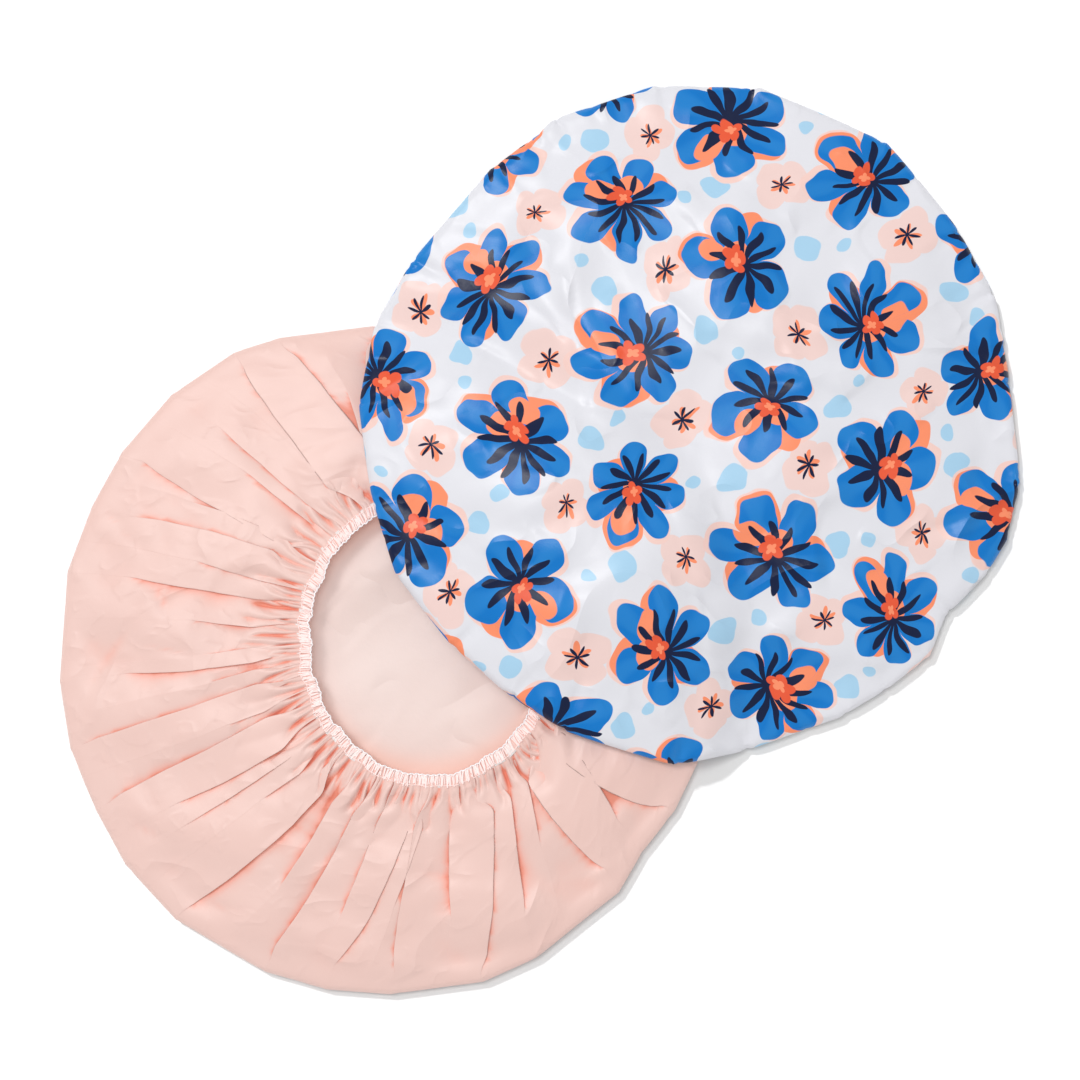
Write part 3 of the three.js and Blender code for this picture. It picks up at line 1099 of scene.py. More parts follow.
    def build(self) -> Thing:
        """Return the sheet's object: crown from its middle to the rim, fold, skirt and hem.

        Returns:
            The object.
        """
        rings = self.skirt_rings()
        mesh = RingMesh()
        pole, inner = self.middle_columns
        reaches = np.concatenate([
            np.zeros(1),
            np.linspace(0.03, 0.22, 5),
            np.linspace(0.26, 0.94, self.crown_rings),
            np.linspace(0.95, 0.99, 4),
        ])
        for reach in reaches:
            count = pole if reach < 0.12 else inner if reach < 0.2 else self.crown_columns
            self.crown_ring(mesh, float(reach), np.arange(count) / count * TURN)
        self.crown_ring(mesh, 1.0, rings[0].turn)
        mesh.rekey(rings[0].key)
        self.add_fold(mesh, rings[0])
        for ring in rings:
            share = np.full_like(ring.space, ring.share)
            x, y = self.shape.plan.skirt(ring.space, share)
            deep = np.minimum(self.base_depth(ring.share) + ring.depth, self.skirt_limit(x, y, ring.share))
            place = self.shape.skirt(ring.space, share, np.maximum(deep, 0.0))
            once = self.softened(place)
            crisp = ramp(ring.share, 0.4, 0.4)
            place = once * crisp + self.softened(once) * (1.0 - crisp)
            mesh.add(ring.key, place, self.flat(ring.turn, ring.share), ring.tint)
        self.edge = (np.mod(rings[-1].space, TURN), 0.7 * rings[-1].depth)
        self.add_hem(mesh, rings[-1])
        return mesh.build(self.name, self.shape.side is Side.OPEN_UP)

    def add_fold(self, mesh: RingMesh, ring: SkirtRing) -> None:
        """Add the rings of the rim's fold, from the crown to the skirt.

        Args:
            mesh: the sheet's surface.
            ring: the skirt's first ring.
        """
        crown = self.crown_depths(ring.turn, 1.0)
        for degrees in (-62.0, -38.0, -20.0, -8.0, 0.0, 8.0, 20.0, 38.0, 62.0):
            part = degrees / 180.0 + 0.5
            depth = crown * (1.0 - part) + (self.base_depth(0.0) + ring.depth) * part
            space = ring.turn * (1.0 - part) + ring.space * part
            points = self.shape.rim(space, math.radians(degrees), np.maximum(depth, 0.0))
            flat = self.flat(ring.turn, 0.0, bend=degrees / 90.0)
            mesh.add(ring.key, points, flat, np.zeros_like(ring.key))

    def add_hem(self, mesh: RingMesh, ring: SkirtRing) -> None:
        """Add the hem's rings, from the first gathers in to the cut edge.

        Args:
            mesh: the sheet's surface.
            ring: the skirt's last ring.
        """
        width = self.shape.plan.hem_width
        ruffle_height, ruffle_count, flat_growth = 0.42, 171.0, 0.001
        for out in np.linspace(width, self.edge_out, self.hem_rings + 1)[1:]:
            near = smooth((width - out) / 2.5)
            ruffle = ruffle_height * near * np.sin(ruffle_count * ring.turn)
            deep = self.hem_depth + ring.depth * (1.0 - 0.3 * near)
            points = self.shape.hem(ring.space, out + ruffle, deep)
            flat = self.flat(ring.turn, 1.0) * (1.0 + (width - out) * flat_growth)
            mesh.add(ring.key, points, flat, np.zeros_like(ring.key))


# Hem: looper threads, needle stitches, elastic and tack

@dataclass
class HemTrim:
    """Seam threads and elastic that run round a cap's opening."""

    cap: str
    shape: CapShape
    ripple: CapCloth
    ripple_share: float = 0.8
    strand_count: int = 820
    strand_points: int = 12
    strand_radius: float = 0.28
    face_depth: float = -0.42
    back_depth: float = 3.75
    loop_reach: float = 4.4
    chain_links: float = 150.0
    chain_points: int = 2600
    chain_radius: float = 0.27
    stitch_count: int = 150
    stitch_points: int = 7
    stitch_share: float = 0.86
    stitch_out: float = 4.85
    stitch_radius: float = 0.2
    tape_inset: float = 0.95
    tape_width: float = 5.0
    tape_depth: float = 1.25
    tape_thickness: float = 0.9
    tape_gap: float = 0.0325
    tape_rows: int = 24
    tape_radius: float = 55.0
    tape_step: float = 0.6
    rounded_half: Pair = (2.46, 0.4)
    rib_count: float = 11.0
    rib_height: float = 0.05
    tack_passes: int = 17
    tack_steps: int = 12
    tack_half_turn: float = 0.026
    tack_out: Pair = (3.45, 2.3)
    tack_depth: Pair = (1.7, 0.32)
    tack_radius: float = 0.14

    def tube(self, piece: str, turn: Array, out: Array, depth: Array, radii: Array | float,
             sides: int) -> Thing:
        """Return thin tubes that run along the hem as one object.

        Args:
            piece: the piece's name without the cap's.
            turn: (n, m) directions of m points on each of n paths.
            out: their distances out from the opening's edge.
            depth: their depths.
            radii: the tubes' radii there.
            sides: number of sides of a tube.

        Returns:
            The object.
        """
        turn, out, depth, radii = np.broadcast_arrays(turn, out, depth, radii)
        n, m = turn.shape
        paths = self.shape.hem(turn.ravel(), out.ravel(), depth.ravel()).reshape(n, m, 3)
        along = np.gradient(paths, axis=1)
        along /= np.linalg.norm(along, axis=2, keepdims=True) + TINY
        across = np.cross(along, np.array([0.13, 0.08, 1.0]))
        across /= np.linalg.norm(across, axis=2, keepdims=True) + TINY
        other = np.cross(along, across)
        way = np.arange(sides) / sides * TURN
        ring = (across[:, :, None, :] * np.cos(way)[None, None, :, None]
                + other[:, :, None, :] * np.sin(way)[None, None, :, None])
        points = paths[:, :, None, :] + ring * radii[:, :, None, None]
        ids = np.arange(n * m * sides).reshape(n, m, sides)
        a, b = ids[:, :-1], ids[:, 1:]
        faces = np.stack([a, b, np.roll(b, -1, axis=2), np.roll(a, -1, axis=2)], axis=-1)
        return mesh_object(f"{self.cap}_{piece}", points.reshape(-1, 3), faces.reshape(-1, 4))

    def looper(self) -> Thing:
        """Return the overlock's looper threads: slanting strands round the hem's edge.

        At a place b from -1 to 1 along a strand, it lies r |b|^1.6 out from the edge, and a smooth step
        about b = 0 takes it from the hem's face to its back.

        Returns:
            The object.
        """
        rng = np.random.default_rng(31)
        n = self.strand_count
        even = (np.arange(n) + rng.uniform(-0.4, 0.4, n)) / n * TURN
        start = even + 0.5 / 97.0 * np.sin(97.0 * even) + 0.35 / 61.0 * np.sin(61.0 * even + 1.3)
        part = np.linspace(0.0, 1.0, self.strand_points)[None, :]
        bend = (part - 0.5) * 2.0
        lean = rng.uniform(-0.6, 1.4, n)[:, None] / self.shape.plan.opening_radius
        turn = start[:, None] + lean * bend
        reach = (self.loop_reach + rng.uniform(-1.1, 0.7, n) + 0.35 * np.sin(start * 43.0))[:, None]
        out = 0.35 + reach * np.abs(bend) ** 1.6 + 0.12 * np.sin(part * math.pi)
        back = ramp(bend, -0.22, 0.44)
        depth = (1.0 - back) * self.face_depth + back * self.back_depth
        depth = depth + self.ripple.hem_depths(turn) * (1.0 - back) * self.ripple_share
        radii = self.strand_radius * rng.uniform(0.8, 1.2, n)[:, None]
        return self.tube("looper_thread", turn, out, depth, radii, 5)

    def chain(self) -> Thing:
        """Return the looped chain of thread that lies on the opening's edge.

        It weaves in and out as sin(n t) and sin(0.37 n t), and up and down as sin(n t + 1.2).

        Returns:
            The object.
        """
        turn = np.linspace(0.0, TURN, self.chain_points)[None, :]
        wave = turn * self.chain_links
        out = 0.15 + 0.19 * np.sin(wave) + 0.14 * np.sin(wave * 0.37)
        depth = 0.35 + 0.5 * np.sin(wave + 1.2)
        return self.tube("looper_chain", turn, out, depth, self.chain_radius, 6)

    def needle(self) -> Thing:
        """Return the needle thread: a ring of short stitches that sink in at their ends.

        At a place p from 0 to 1 along a stitch, it rises 0.75 sin(pi p)^0.6 over its ends.

        Returns:
            The object.
        """
        rng = np.random.default_rng(47)
        n = self.stitch_count
        part = np.linspace(0.0, 1.0, self.stitch_points)[None, :]
        start = np.arange(n)[:, None] / n * TURN
        turn = start + part * self.stitch_share * TURN / n
        out = self.stitch_out + rng.uniform(-0.12, 0.12, n)[:, None]
        ripple = self.ripple.hem_depths(turn) * self.ripple_share
        depth = 0.45 - 0.75 * np.sin(part * math.pi) ** 0.6 + ripple
        return self.tube("needle_thread", turn, out, depth, self.stitch_radius, 6)

    def elastic(self) -> Thing:
        """Return the flat elastic with rounded edges, whose ends leave a small gap for the tack.

        Its section is half the width times |cos|^0.35 by half the thickness times |sin|^0.6.

        Returns:
            The object.
        """
        rows = self.tape_rows
        start, end = self.tape_gap, TURN - self.tape_gap
        count = int((end - start) * self.tape_radius / self.tape_step)
        turn = np.linspace(start, end, count)
        section = np.linspace(0.0, TURN, rows, endpoint=False)
        across, through = np.cos(section), np.sin(section)
        half_width, half_thickness = self.rounded_half
        out = self.tape_inset + self.tape_width / 2.0
        out = out + half_width * np.sign(across) * np.abs(across) ** 0.35
        depth = self.tape_depth + self.tape_thickness / 2.0
        depth = depth - half_thickness * np.sign(through) * np.abs(through) ** 0.6
        points = self.shape.hem(np.repeat(turn, rows), np.tile(out, count), np.tile(depth, count))
        points[:, 2] += self.rib_height * np.sin(np.tile(section, count) * 0.5 * self.rib_count)
        ids = np.arange(count * rows).reshape(count, rows)
        a, b = ids[:-1], ids[1:]
        sides = np.stack([a, b, np.roll(b, -1, axis=1), np.roll(a, -1, axis=1)], axis=-1)
        faces = [sides.reshape(-1, 4)]
        for row in (ids[0], ids[-1][::-1]):
            half, back = rows // 2, row[::-1]
            faces.append(np.stack([row[:half - 1], row[1:half], back[1:half], back[:half - 1]], axis=1))
        return mesh_object(f"{self.cap}_elastic", points, np.concatenate(faces))

    def tack(self) -> Thing:
        """Return the tack that joins the elastic's ends: one thread that zigzags over and under.

        It goes across the tape as cos(a) and through it as sin(a), with a turn of a in each pass.

        Returns:
            The object.
        """
        whole = self.tack_passes * TURN
        part = np.linspace(0.0, whole, self.tack_passes * self.tack_steps)[None, :]
        turn = -self.tack_half_turn + 2.0 * self.tack_half_turn * part / whole
        out = self.tack_out[0] + self.tack_out[1] * np.cos(part)
        depth = self.tack_depth[0] - self.tack_depth[1] * np.sin(part)
        return self.tube("elastic_tack", turn, out, depth, self.tack_radius, 6)


# Shader nodes

class Nodes:
    """Adds nodes to one tree; every value passed in is a number, a colour, a vector or a socket."""

    def __init__(self, tree: Tree) -> None:
        """Work on a tree."""
        self.tree = tree

    def feed(self, socket: Socket, value: object) -> None:
        """Link a socket to another, or set its number.

        Args:
            socket: an input.
            value: a socket to link, or what the input is set to.
        """
        if isinstance(value, Socket):
            self.tree.links.new(value, socket)
        else:
            socket.default_value = value

    def node(self, kind: str, inputs: dict[str | int, object] | None = None, **settings: object) -> Node:
        """Add a node.

        Args:
            kind: the node's type name.
            inputs: values by the sockets' names or numbers.
            settings: the node's own settings.

        Returns:
            The node.
        """
        made = self.tree.nodes.new(kind)
        for key, value in settings.items():
            setattr(made, key, value)
        for key, value in (inputs or {}).items():
            self.feed(made.inputs[key], value)
        return made

    def math(self, operation: str, *values: object, clamp: bool = False) -> Socket:
        """Return the result of a scalar operation.

        Args:
            operation: Blender's name of the operation.
            values: its inputs.
            clamp: whether the result is kept between 0 and 1.

        Returns:
            The result's socket.
        """
        made = self.node("ShaderNodeMath", dict(enumerate(values)), operation=operation)
        made.use_clamp = clamp
        return made.outputs[0]

    def vector(self, operation: str, *values: object) -> Socket:
        """Return the result of a vector operation."""
        made = self.node("ShaderNodeVectorMath", dict(enumerate(values)), operation=operation)
        return made.outputs["Value" if operation == "LENGTH" else "Vector"]

    def split(self, value: object) -> tuple[Socket, ...]:
        """Return a vector's three parts."""
        return tuple(self.node("ShaderNodeSeparateXYZ", {0: value}).outputs)

    def joined(self, x: object, y: object, z: object = 0.0) -> Socket:
        """Return a vector made of three parts."""
        return self.node("ShaderNodeCombineXYZ", {0: x, 1: y, 2: z}).outputs[0]

    def mix(self, share: object, first: object, second: object) -> Socket:
        """Return a blend of two colours: the first where share is 0, the second where it is 1."""
        return self.node("ShaderNodeMix", {0: share, 6: first, 7: second}, data_type="RGBA").outputs[2]

    def step(self, value: object, low: float, high: float) -> Socket:
        """Return the smooth step of a value between two bounds."""
        return self.node("ShaderNodeMapRange", {0: value, 1: low, 2: high},
                         interpolation_type="SMOOTHSTEP").outputs[0]

    def noise(self, vector: object, scale: object, detail: float = 2.0, rough: float = 0.5) -> Socket:
        """Return noise about 0.5 over a vector."""
        inputs = {"Vector": vector, "Scale": scale, "Detail": detail, "Roughness": rough}
        return self.node("ShaderNodeTexNoise", inputs).outputs[0]

    def wander(self, vector: object, scale: float, detail: float, reach: float) -> Socket:
        """Return a flat vector that noise turns and lengthens from place to place.

        Args:
            vector: the places.
            scale, detail: the noise's own settings.
            reach: length of the vector for a noise of 1.

        Returns:
            The vector.
        """
        made = self.node("ShaderNodeTexNoise", {"Vector": vector, "Scale": scale, "Detail": detail})
        centred = self.vector("SUBTRACT", made.outputs["Color"], (0.5, 0.5, 0.5))
        return self.vector("MULTIPLY", centred, (reach, reach, 0.0))

    def turned(self, vector: object, angle: object) -> Socket:
        """Return a vector turned about the third axis."""
        inputs = {"Vector": vector, "Axis": (0.0, 0.0, 1.0), "Angle": angle}
        return self.node("ShaderNodeVectorRotate", inputs).outputs[0]

    def bump(self, height: object, strength: float, distance: float) -> Socket:
        """Return the normal of a surface with a height on it."""
        inputs = {"Height": height, "Strength": strength, "Distance": distance}
        return self.node("ShaderNodeBump", inputs).outputs[0]

    def group(self, tree: Tree, inputs: dict[str, object]) -> Node:
        """Add a node that stands for a group."""
        return self.node("ShaderNodeGroup", inputs, node_tree=tree)


def new_group(name: str, inputs: dict[str, str], outputs: dict[str, str]) -> tuple[Nodes, Node, Node]:
    """Make a new group.

    Args:
        name: the group's name.
        inputs: kinds of the inputs, by name: Float, Vector or Color.
        outputs: kinds of the outputs, by name.

    Returns:
        Its builder, its input node and its output node.
    """
    tree = bpy.data.node_groups.new(name, "ShaderNodeTree")
    for key, kind in inputs.items():
        tree.interface.new_socket(key, in_out="INPUT", socket_type=f"NodeSocket{kind}")
    for key, kind in outputs.items():
        tree.interface.new_socket(key, in_out="OUTPUT", socket_type=f"NodeSocket{kind}")
    nodes = Nodes(tree)
    return nodes, nodes.node("NodeGroupInput"), nodes.node("NodeGroupOutput")


def weave_group() -> Tree:
    """Make the group of a plain weave's height, |sin(pi u) cos(pi v)| at u and v threads along the cloth.

    Returns:
        The group's tree.
    """
    nodes, into, out = new_group("weave", {"Cloth": "Vector", "Thread": "Float"}, {"Height": "Float"})
    x, y, _ = nodes.split(into.outputs["Cloth"])
    u = nodes.math("DIVIDE", x, into.outputs["Thread"])
    v = nodes.math("DIVIDE", y, into.outputs["Thread"])
    warp = nodes.math("MULTIPLY", nodes.math("SINE", nodes.math("MULTIPLY", u, math.pi)),
                      nodes.math("COSINE", nodes.math("MULTIPLY", v, math.pi)))
    nodes.feed(out.inputs["Height"], nodes.math("ABSOLUTE", warp))
    return nodes.tree


def crinkle_group() -> Tree:
    """Make the group that gives the height of soft creases: curved ridges that come and go.

    A ridge runs where slow noise n crosses 0.5, with the section max(0, 1 - sharpness |n - 0.5|)^2.

    Returns:
        The group.
    """
    nodes, into, out = new_group("crinkle", {"Cloth": "Vector", "Scale": "Float", "Sharpness": "Float"},
                                 {"Height": "Float"})
    cloth, scale = into.outputs["Cloth"], into.outputs["Scale"]
    slow = nodes.noise(cloth, scale, 1.0, 0.4)
    away = nodes.math("ABSOLUTE", nodes.math("SUBTRACT", slow, 0.5))
    fall = nodes.math("MULTIPLY", away, into.outputs["Sharpness"])
    ridge = nodes.math("SUBTRACT", 1.0, fall, clamp=True)
    moved = nodes.vector("ADD", cloth, (0.37, 0.21, 0.0))
    patch = nodes.step(nodes.noise(moved, nodes.math("MULTIPLY", scale, 1.3), 0.0), 0.46, 0.62)
    nodes.feed(out.inputs["Height"], nodes.math("MULTIPLY", nodes.math("POWER", ridge, 2.0), patch))
    return nodes.tree


def scatter_group() -> Tree:
    """Make the group that gives places around the motif of each cell of a lattice, in millimetres.

    Every second row is moved along by half a cell, and each cell has its own small shift and turn.

    Returns:
        The group.
    """
    nodes, into, out = new_group(
        "scatter",
        {"Cloth": "Vector", "Width": "Float", "Height": "Float", "Shift": "Vector", "Jitter": "Float",
         "Seed": "Float"},
        {"Local": "Vector", "Random": "Vector"},
    )
    width, height, jitter = (into.outputs[key] for key in ("Width", "Height", "Jitter"))
    x, y, _ = nodes.split(nodes.vector("ADD", into.outputs["Cloth"], into.outputs["Shift"]))
    v = nodes.math("DIVIDE", y, height)
    row = nodes.math("FLOOR", v)
    odd = nodes.math("MULTIPLY", nodes.math("PINGPONG", row, 1.0), 0.5)
    u = nodes.math("ADD", nodes.math("DIVIDE", x, width), odd)
    column = nodes.math("FLOOR", u)
    cell = nodes.joined(column, row, into.outputs["Seed"])
    chance = nodes.node("ShaderNodeTexWhiteNoise", {"Vector": cell}, noise_dimensions="3D").outputs["Color"]
    centred = nodes.vector("SUBTRACT", chance, (0.5, 0.5, 0.5))
    shift = nodes.vector("MULTIPLY", centred, nodes.joined(jitter, nodes.math("MULTIPLY", jitter, 0.5)))
    across = nodes.math("SUBTRACT", nodes.math("SUBTRACT", u, column), 0.5)
    along = nodes.math("SUBTRACT", nodes.math("SUBTRACT", v, row), 0.5)
    place = nodes.joined(nodes.math("MULTIPLY", across, width), nodes.math("MULTIPLY", along, height))
    _, _, third = nodes.split(chance)
    local = nodes.turned(nodes.vector("SUBTRACT", place, shift), nodes.math("MULTIPLY", third, TURN))
    nodes.feed(out.inputs["Local"], local)
    nodes.feed(out.inputs["Random"], chance)
    return nodes.tree


def petals_group() -> Tree:
    """Make the group that tells where a ring of petals lies round a middle.

    A ring of n petals reaches r(t) = R (k + (1 - k) |cos(n t / 2)|^p) in the direction t.

    Returns:
        The group.
    """
    nodes, into, out = new_group(
        "petals",
        {"Local": "Vector", "Count": "Float", "Radius": "Float", "Waist": "Float", "Power": "Float",
         "Turn": "Float", "Soft": "Float"},
        {"Inside": "Float", "Across": "Float"},
    )
    local, count, waist = (into.outputs[key] for key in ("Local", "Count", "Waist"))
    x, y, _ = nodes.split(local)
    turn = nodes.math("ADD", nodes.math("ARCTAN2", y, x), into.outputs["Turn"])
    angle = nodes.math("MULTIPLY", turn, nodes.math("MULTIPLY", count, 0.5))
    wave = nodes.math("ABSOLUTE", nodes.math("COSINE", angle))
    lobe = nodes.math("POWER", wave, into.outputs["Power"])
    share = nodes.math("MULTIPLY_ADD", lobe, nodes.math("SUBTRACT", 1.0, waist), waist)
    edge = nodes.math("MULTIPLY", share, into.outputs["Radius"])
    past = nodes.math("SUBTRACT", edge, nodes.vector("LENGTH", local))
    gap = nodes.math("DIVIDE", past, into.outputs["Soft"])
    nodes.feed(out.inputs["Inside"], nodes.math("ADD", gap, 0.5, clamp=True))
    nodes.feed(out.inputs["Across"], wave)
    return nodes.tree


# Materials

def srgb(red: float, green: float, blue: float) -> Colour:
    """Return a colour of 0 to 255 screen values as linear light with full alpha.

    Args:
        red, green, blue: the screen values.

    Returns:
        The four numbers of the colour.
    """
    values = np.array([red, green, blue]) / 255.0
    linear = np.where(values <= 0.04045, values / 12.92, ((values + 0.055) / 1.055) ** 2.4)
    return (*(float(v) for v in linear), 1.0)


@dataclass(frozen=True)
class ClothFinish:
    """Look of a cloth: its colour in the open, its painted shade colours in its folds and in their pits,
    its gloss and its weave.

    The glow is painted light: emission in the same three places that stands in for light coming through
    the thin cloth.
    """

    name: str
    colour: Colour
    # Painted shade: colours for the cloth where folds, and their pits, hide it from the light.
    fold_shade_colour: Colour
    pit_shade_colour: Colour
    roughness: float
    sheen: float
    weave: float
    crumple: float
    crinkle: Pair
    # Painted light: emission strengths in the open, in folds and in pits.
    glow: Triple


@dataclass(frozen=True)
class PrintColours:
    """Inks of the floral print."""

    ground: Colour = srgb(229, 229, 235)
    blue: Colour = srgb(2, 120, 203)
    light_blue: Colour = srgb(70, 162, 226)
    navy: Colour = srgb(6, 24, 62)
    coral: Colour = srgb(255, 148, 108)
    orange: Colour = srgb(236, 92, 58)
    pink: Colour = srgb(243, 213, 207)
    halo: Colour = srgb(247, 210, 201)
    dot: Colour = srgb(172, 212, 238)


@dataclass(frozen=True)
class Petals:
    """A ring of petals: its form, its turn, the softness of its edge and its middle's place in a motif."""

    count: float
    radius: float
    waist: float
    power: float
    turn: float = 0.0
    soft: float = 0.3
    middle: Pair = (0.0, 0.0)


@dataclass(frozen=True)
class PrintMotifs:
    """The rings of petals, in millimetres, that make up the print's rosettes, blossoms and dots."""

    halo: Petals = Petals(5.0, 26.3, 0.56, 0.55, soft=0.4, middle=(1.2, -1.2))
    coral: Petals = Petals(3.0, 24.0, 0.3, 1.4, middle=(2.0, -2.3))
    blue: Petals = Petals(5.0, 25.4, 0.4, 0.52)
    lip: Petals = Petals(2.0, 12.5, 0.12, 1.8, middle=(5.0, -6.0))
    star: Petals = Petals(10.0, 17.5, 0.2, 1.5, soft=0.4, middle=(-1.6, 1.8))
    heart: Petals = Petals(5.0, 5.8, 0.6, 0.8, 0.9, middle=(1.6, -1.8))
    seeds: Petals = Petals(4.0, 2.4, 0.5, 1.0, 0.3, middle=(1.0, -1.0))
    blossom: tuple[Petals, ...] = (Petals(4.0, 12.3, 0.74, 0.8, soft=0.4),
                                   Petals(5.0, 5.6, 0.2, 2.4, 0.6, middle=(0.8, -0.4)),
                                   Petals(7.0, 4.8, 0.16, 2.6, 0.2))
    dots: tuple[Petals, ...] = (Petals(3.0, 5.8, 0.9, 1.0, middle=(6.0, 2.0)),
                                Petals(2.0, 3.4, 0.85, 1.0, middle=(-7.5, -3.0)))
    more_counts: float = 2.99
    star_extra: float = 5.0
    sizes: Pair = (0.92, 1.01)
    vein: float = 0.2


@dataclass(frozen=True)
class PrintLayout:
    """Sizes of the print's lattices, in millimetres, and of the sway that keeps them from looking ruled."""

    width: float = 60.0
    height: float = 54.0
    tilt: float = 0.42
    sway: Triple = (0.012, 1.0, 26.0)
    shake: Triple = (0.1, 0.3, 5.5)
    rosette_shift: Triple = (0.0, 0.0, 0.0)
    blossom_shift: Triple = (29.0, 17.0, 0.0)
    dot_shift: Triple = (0.0, 34.0, 0.0)


class FinishShop:
    """Makes the materials, and keeps the node groups that they share."""

    THREAD_PITCH = 0.00034
    CRUMPLE_SCALE = 260.0
    CREASE_SIZES = ((1.0, 7.0, 1.0), (2.7, 6.0, 0.35))

    def __init__(self) -> None:
        """Make the shared groups."""
        self.weave = weave_group()
        self.crinkle = crinkle_group()

    def start(self, name: str, roughness: float) -> tuple[Finish, Nodes, Node]:
        """Return a new material, its builder and its shader.

        Args:
            name: the material's name.
            roughness: its roughness.

        Returns:
            The material, its builder and its shader.
        """
        material = bpy.data.materials.new(name)
        material.use_nodes = True
        shader = material.node_tree.nodes["Principled BSDF"]
        shader.inputs["Roughness"].default_value = roughness
        return material, Nodes(material.node_tree), shader

    def bump(self, nodes: Nodes, shader: Node, cloth: object, weave: float, crumple: float,
             crinkle: float, scale: float) -> None:
        """Give a shader its cloth's weave, its faint crumple and its soft creases.

        Args:
            nodes: the material's builder.
            shader: the shader.
            cloth: places in the flat cloth.
            weave: height of the weave, in metres.
            crumple: height of the crumple, in metres.
            crinkle: height of the soft creases, in metres.
            scale: number of the creases' waves in a metre.
        """
        threads = nodes.group(self.weave, {"Cloth": cloth, "Thread": self.THREAD_PITCH}).outputs[0]
        soft = nodes.noise(cloth, self.CRUMPLE_SCALE, 3.0, 0.55)
        height = nodes.math("MULTIPLY", threads, weave)
        height = nodes.math("ADD", height, nodes.math("MULTIPLY", soft, crumple))
        for finer, sharpness, share in self.CREASE_SIZES:
            inputs = {"Cloth": cloth, "Scale": finer * scale, "Sharpness": sharpness}
            creased = nodes.group(self.crinkle, inputs).outputs[0]
            height = nodes.math("MULTIPLY_ADD", creased, share * crinkle, height)
        nodes.feed(shader.inputs["Normal"], nodes.bump(height, 1.0, 1.0))

    def cloth(self, finish: ClothFinish) -> Finish:
        """Return a plain-dyed cloth with painted shade: darker coral where folds hide it from the light,
        and painted light (emission) in those folds.

        Args:
            finish: the cloth's look.

        Returns:
            The material.
        """
        material, nodes, shader = self.start(finish.name, finish.roughness)
        cloth = nodes.node("ShaderNodeUVMap", uv_map="cloth").outputs[0]
        # The fold attribute is painted shade, from 0 in the open to 1 deep in a fold.
        fold = nodes.node("ShaderNodeAttribute", attribute_name="fold").outputs["Fac"]
        # Tone that differs at random: broad patches pulled a little toward the fold shade colour.
        patch = nodes.noise(cloth, 22.0, 3.0)
        tint = nodes.mix(nodes.math("MULTIPLY", patch, 0.14), finish.colour, finish.fold_shade_colour)
        # Painted shade: the colour is mixed toward the fold shade colour as the fold attribute rises, and
        # toward the pit shade colour in the deepest folds.
        deep = nodes.math("MULTIPLY", nodes.step(fold, 0.0, 1.0), 0.9)
        pit_shade_mask = nodes.step(fold, 0.7, 1.0)
        shaded = nodes.mix(deep, tint, finish.fold_shade_colour)
        nodes.feed(shader.inputs["Base Color"], nodes.mix(pit_shade_mask, shaded, finish.pit_shade_colour))
        shader.inputs["Sheen Weight"].default_value = finish.sheen
        shader.inputs["Sheen Roughness"].default_value = 0.4
        # Painted light: an emission, peach in the open and coral in the folds, lightens the painted shade.
        nodes.feed(shader.inputs["Emission Color"], nodes.mix(deep, finish.colour, finish.pit_shade_colour))
        open_painted_light, fold_painted_light, pit_painted_light = finish.glow
        strength = nodes.math("MULTIPLY_ADD", deep, fold_painted_light, open_painted_light)
        nodes.feed(shader.inputs["Emission Strength"], nodes.math("MULTIPLY_ADD", pit_shade_mask, pit_painted_light, strength))
        self.bump(nodes, shader, cloth, finish.weave, finish.crumple, *finish.crinkle)
        return material

    def thread(self, name: str, colour: Colour, roughness: float, glow: float) -> Finish:
        """Return a spun thread or knitted tape: fibres give it a soft rib and a little shade.

        Args:
            name: the material's name.
            colour: the thread's colour.
            roughness: its roughness.
            glow: strength of painted light, an emission that stands in for light coming through it.

        Returns:
            The material.
        """
        material, nodes, shader = self.start(name, roughness)
        place = nodes.node("ShaderNodeTexCoord").outputs["Object"]
        fibre = nodes.noise(place, 2600.0, 2.0, 0.6)
        dark = tuple(0.9 * v for v in colour[:3]) + (1.0,)
        nodes.feed(shader.inputs["Base Color"], nodes.mix(nodes.step(fibre, 0.3, 0.6), dark, colour))
        nodes.feed(shader.inputs["Normal"], nodes.bump(fibre, 0.6, 0.0001))
        shader.inputs["Sheen Weight"].default_value = 0.25
        # Painted light: the thread glows in its own colour.
        shader.inputs["Emission Color"].default_value = colour
        shader.inputs["Emission Strength"].default_value = glow
        return material

    def printed(self, name: str) -> Finish:
        """Return the glossy satin with the floral print.

        Args:
            name: the material's name.

        Returns:
            The material.
        """
        material, nodes, shader = self.start(name, 0.3)
        cloth = nodes.node("ShaderNodeUVMap", uv_map="cloth").outputs[0]
        pattern = FloralPrint(nodes, scatter_group(), petals_group())
        nodes.feed(shader.inputs["Base Color"], pattern.colour(cloth))
        shader.inputs["Specular IOR Level"].default_value = 0.3
        self.bump(nodes, shader, cloth, 0.000008, 0.00006, 0.0022, 13.0)
        return material


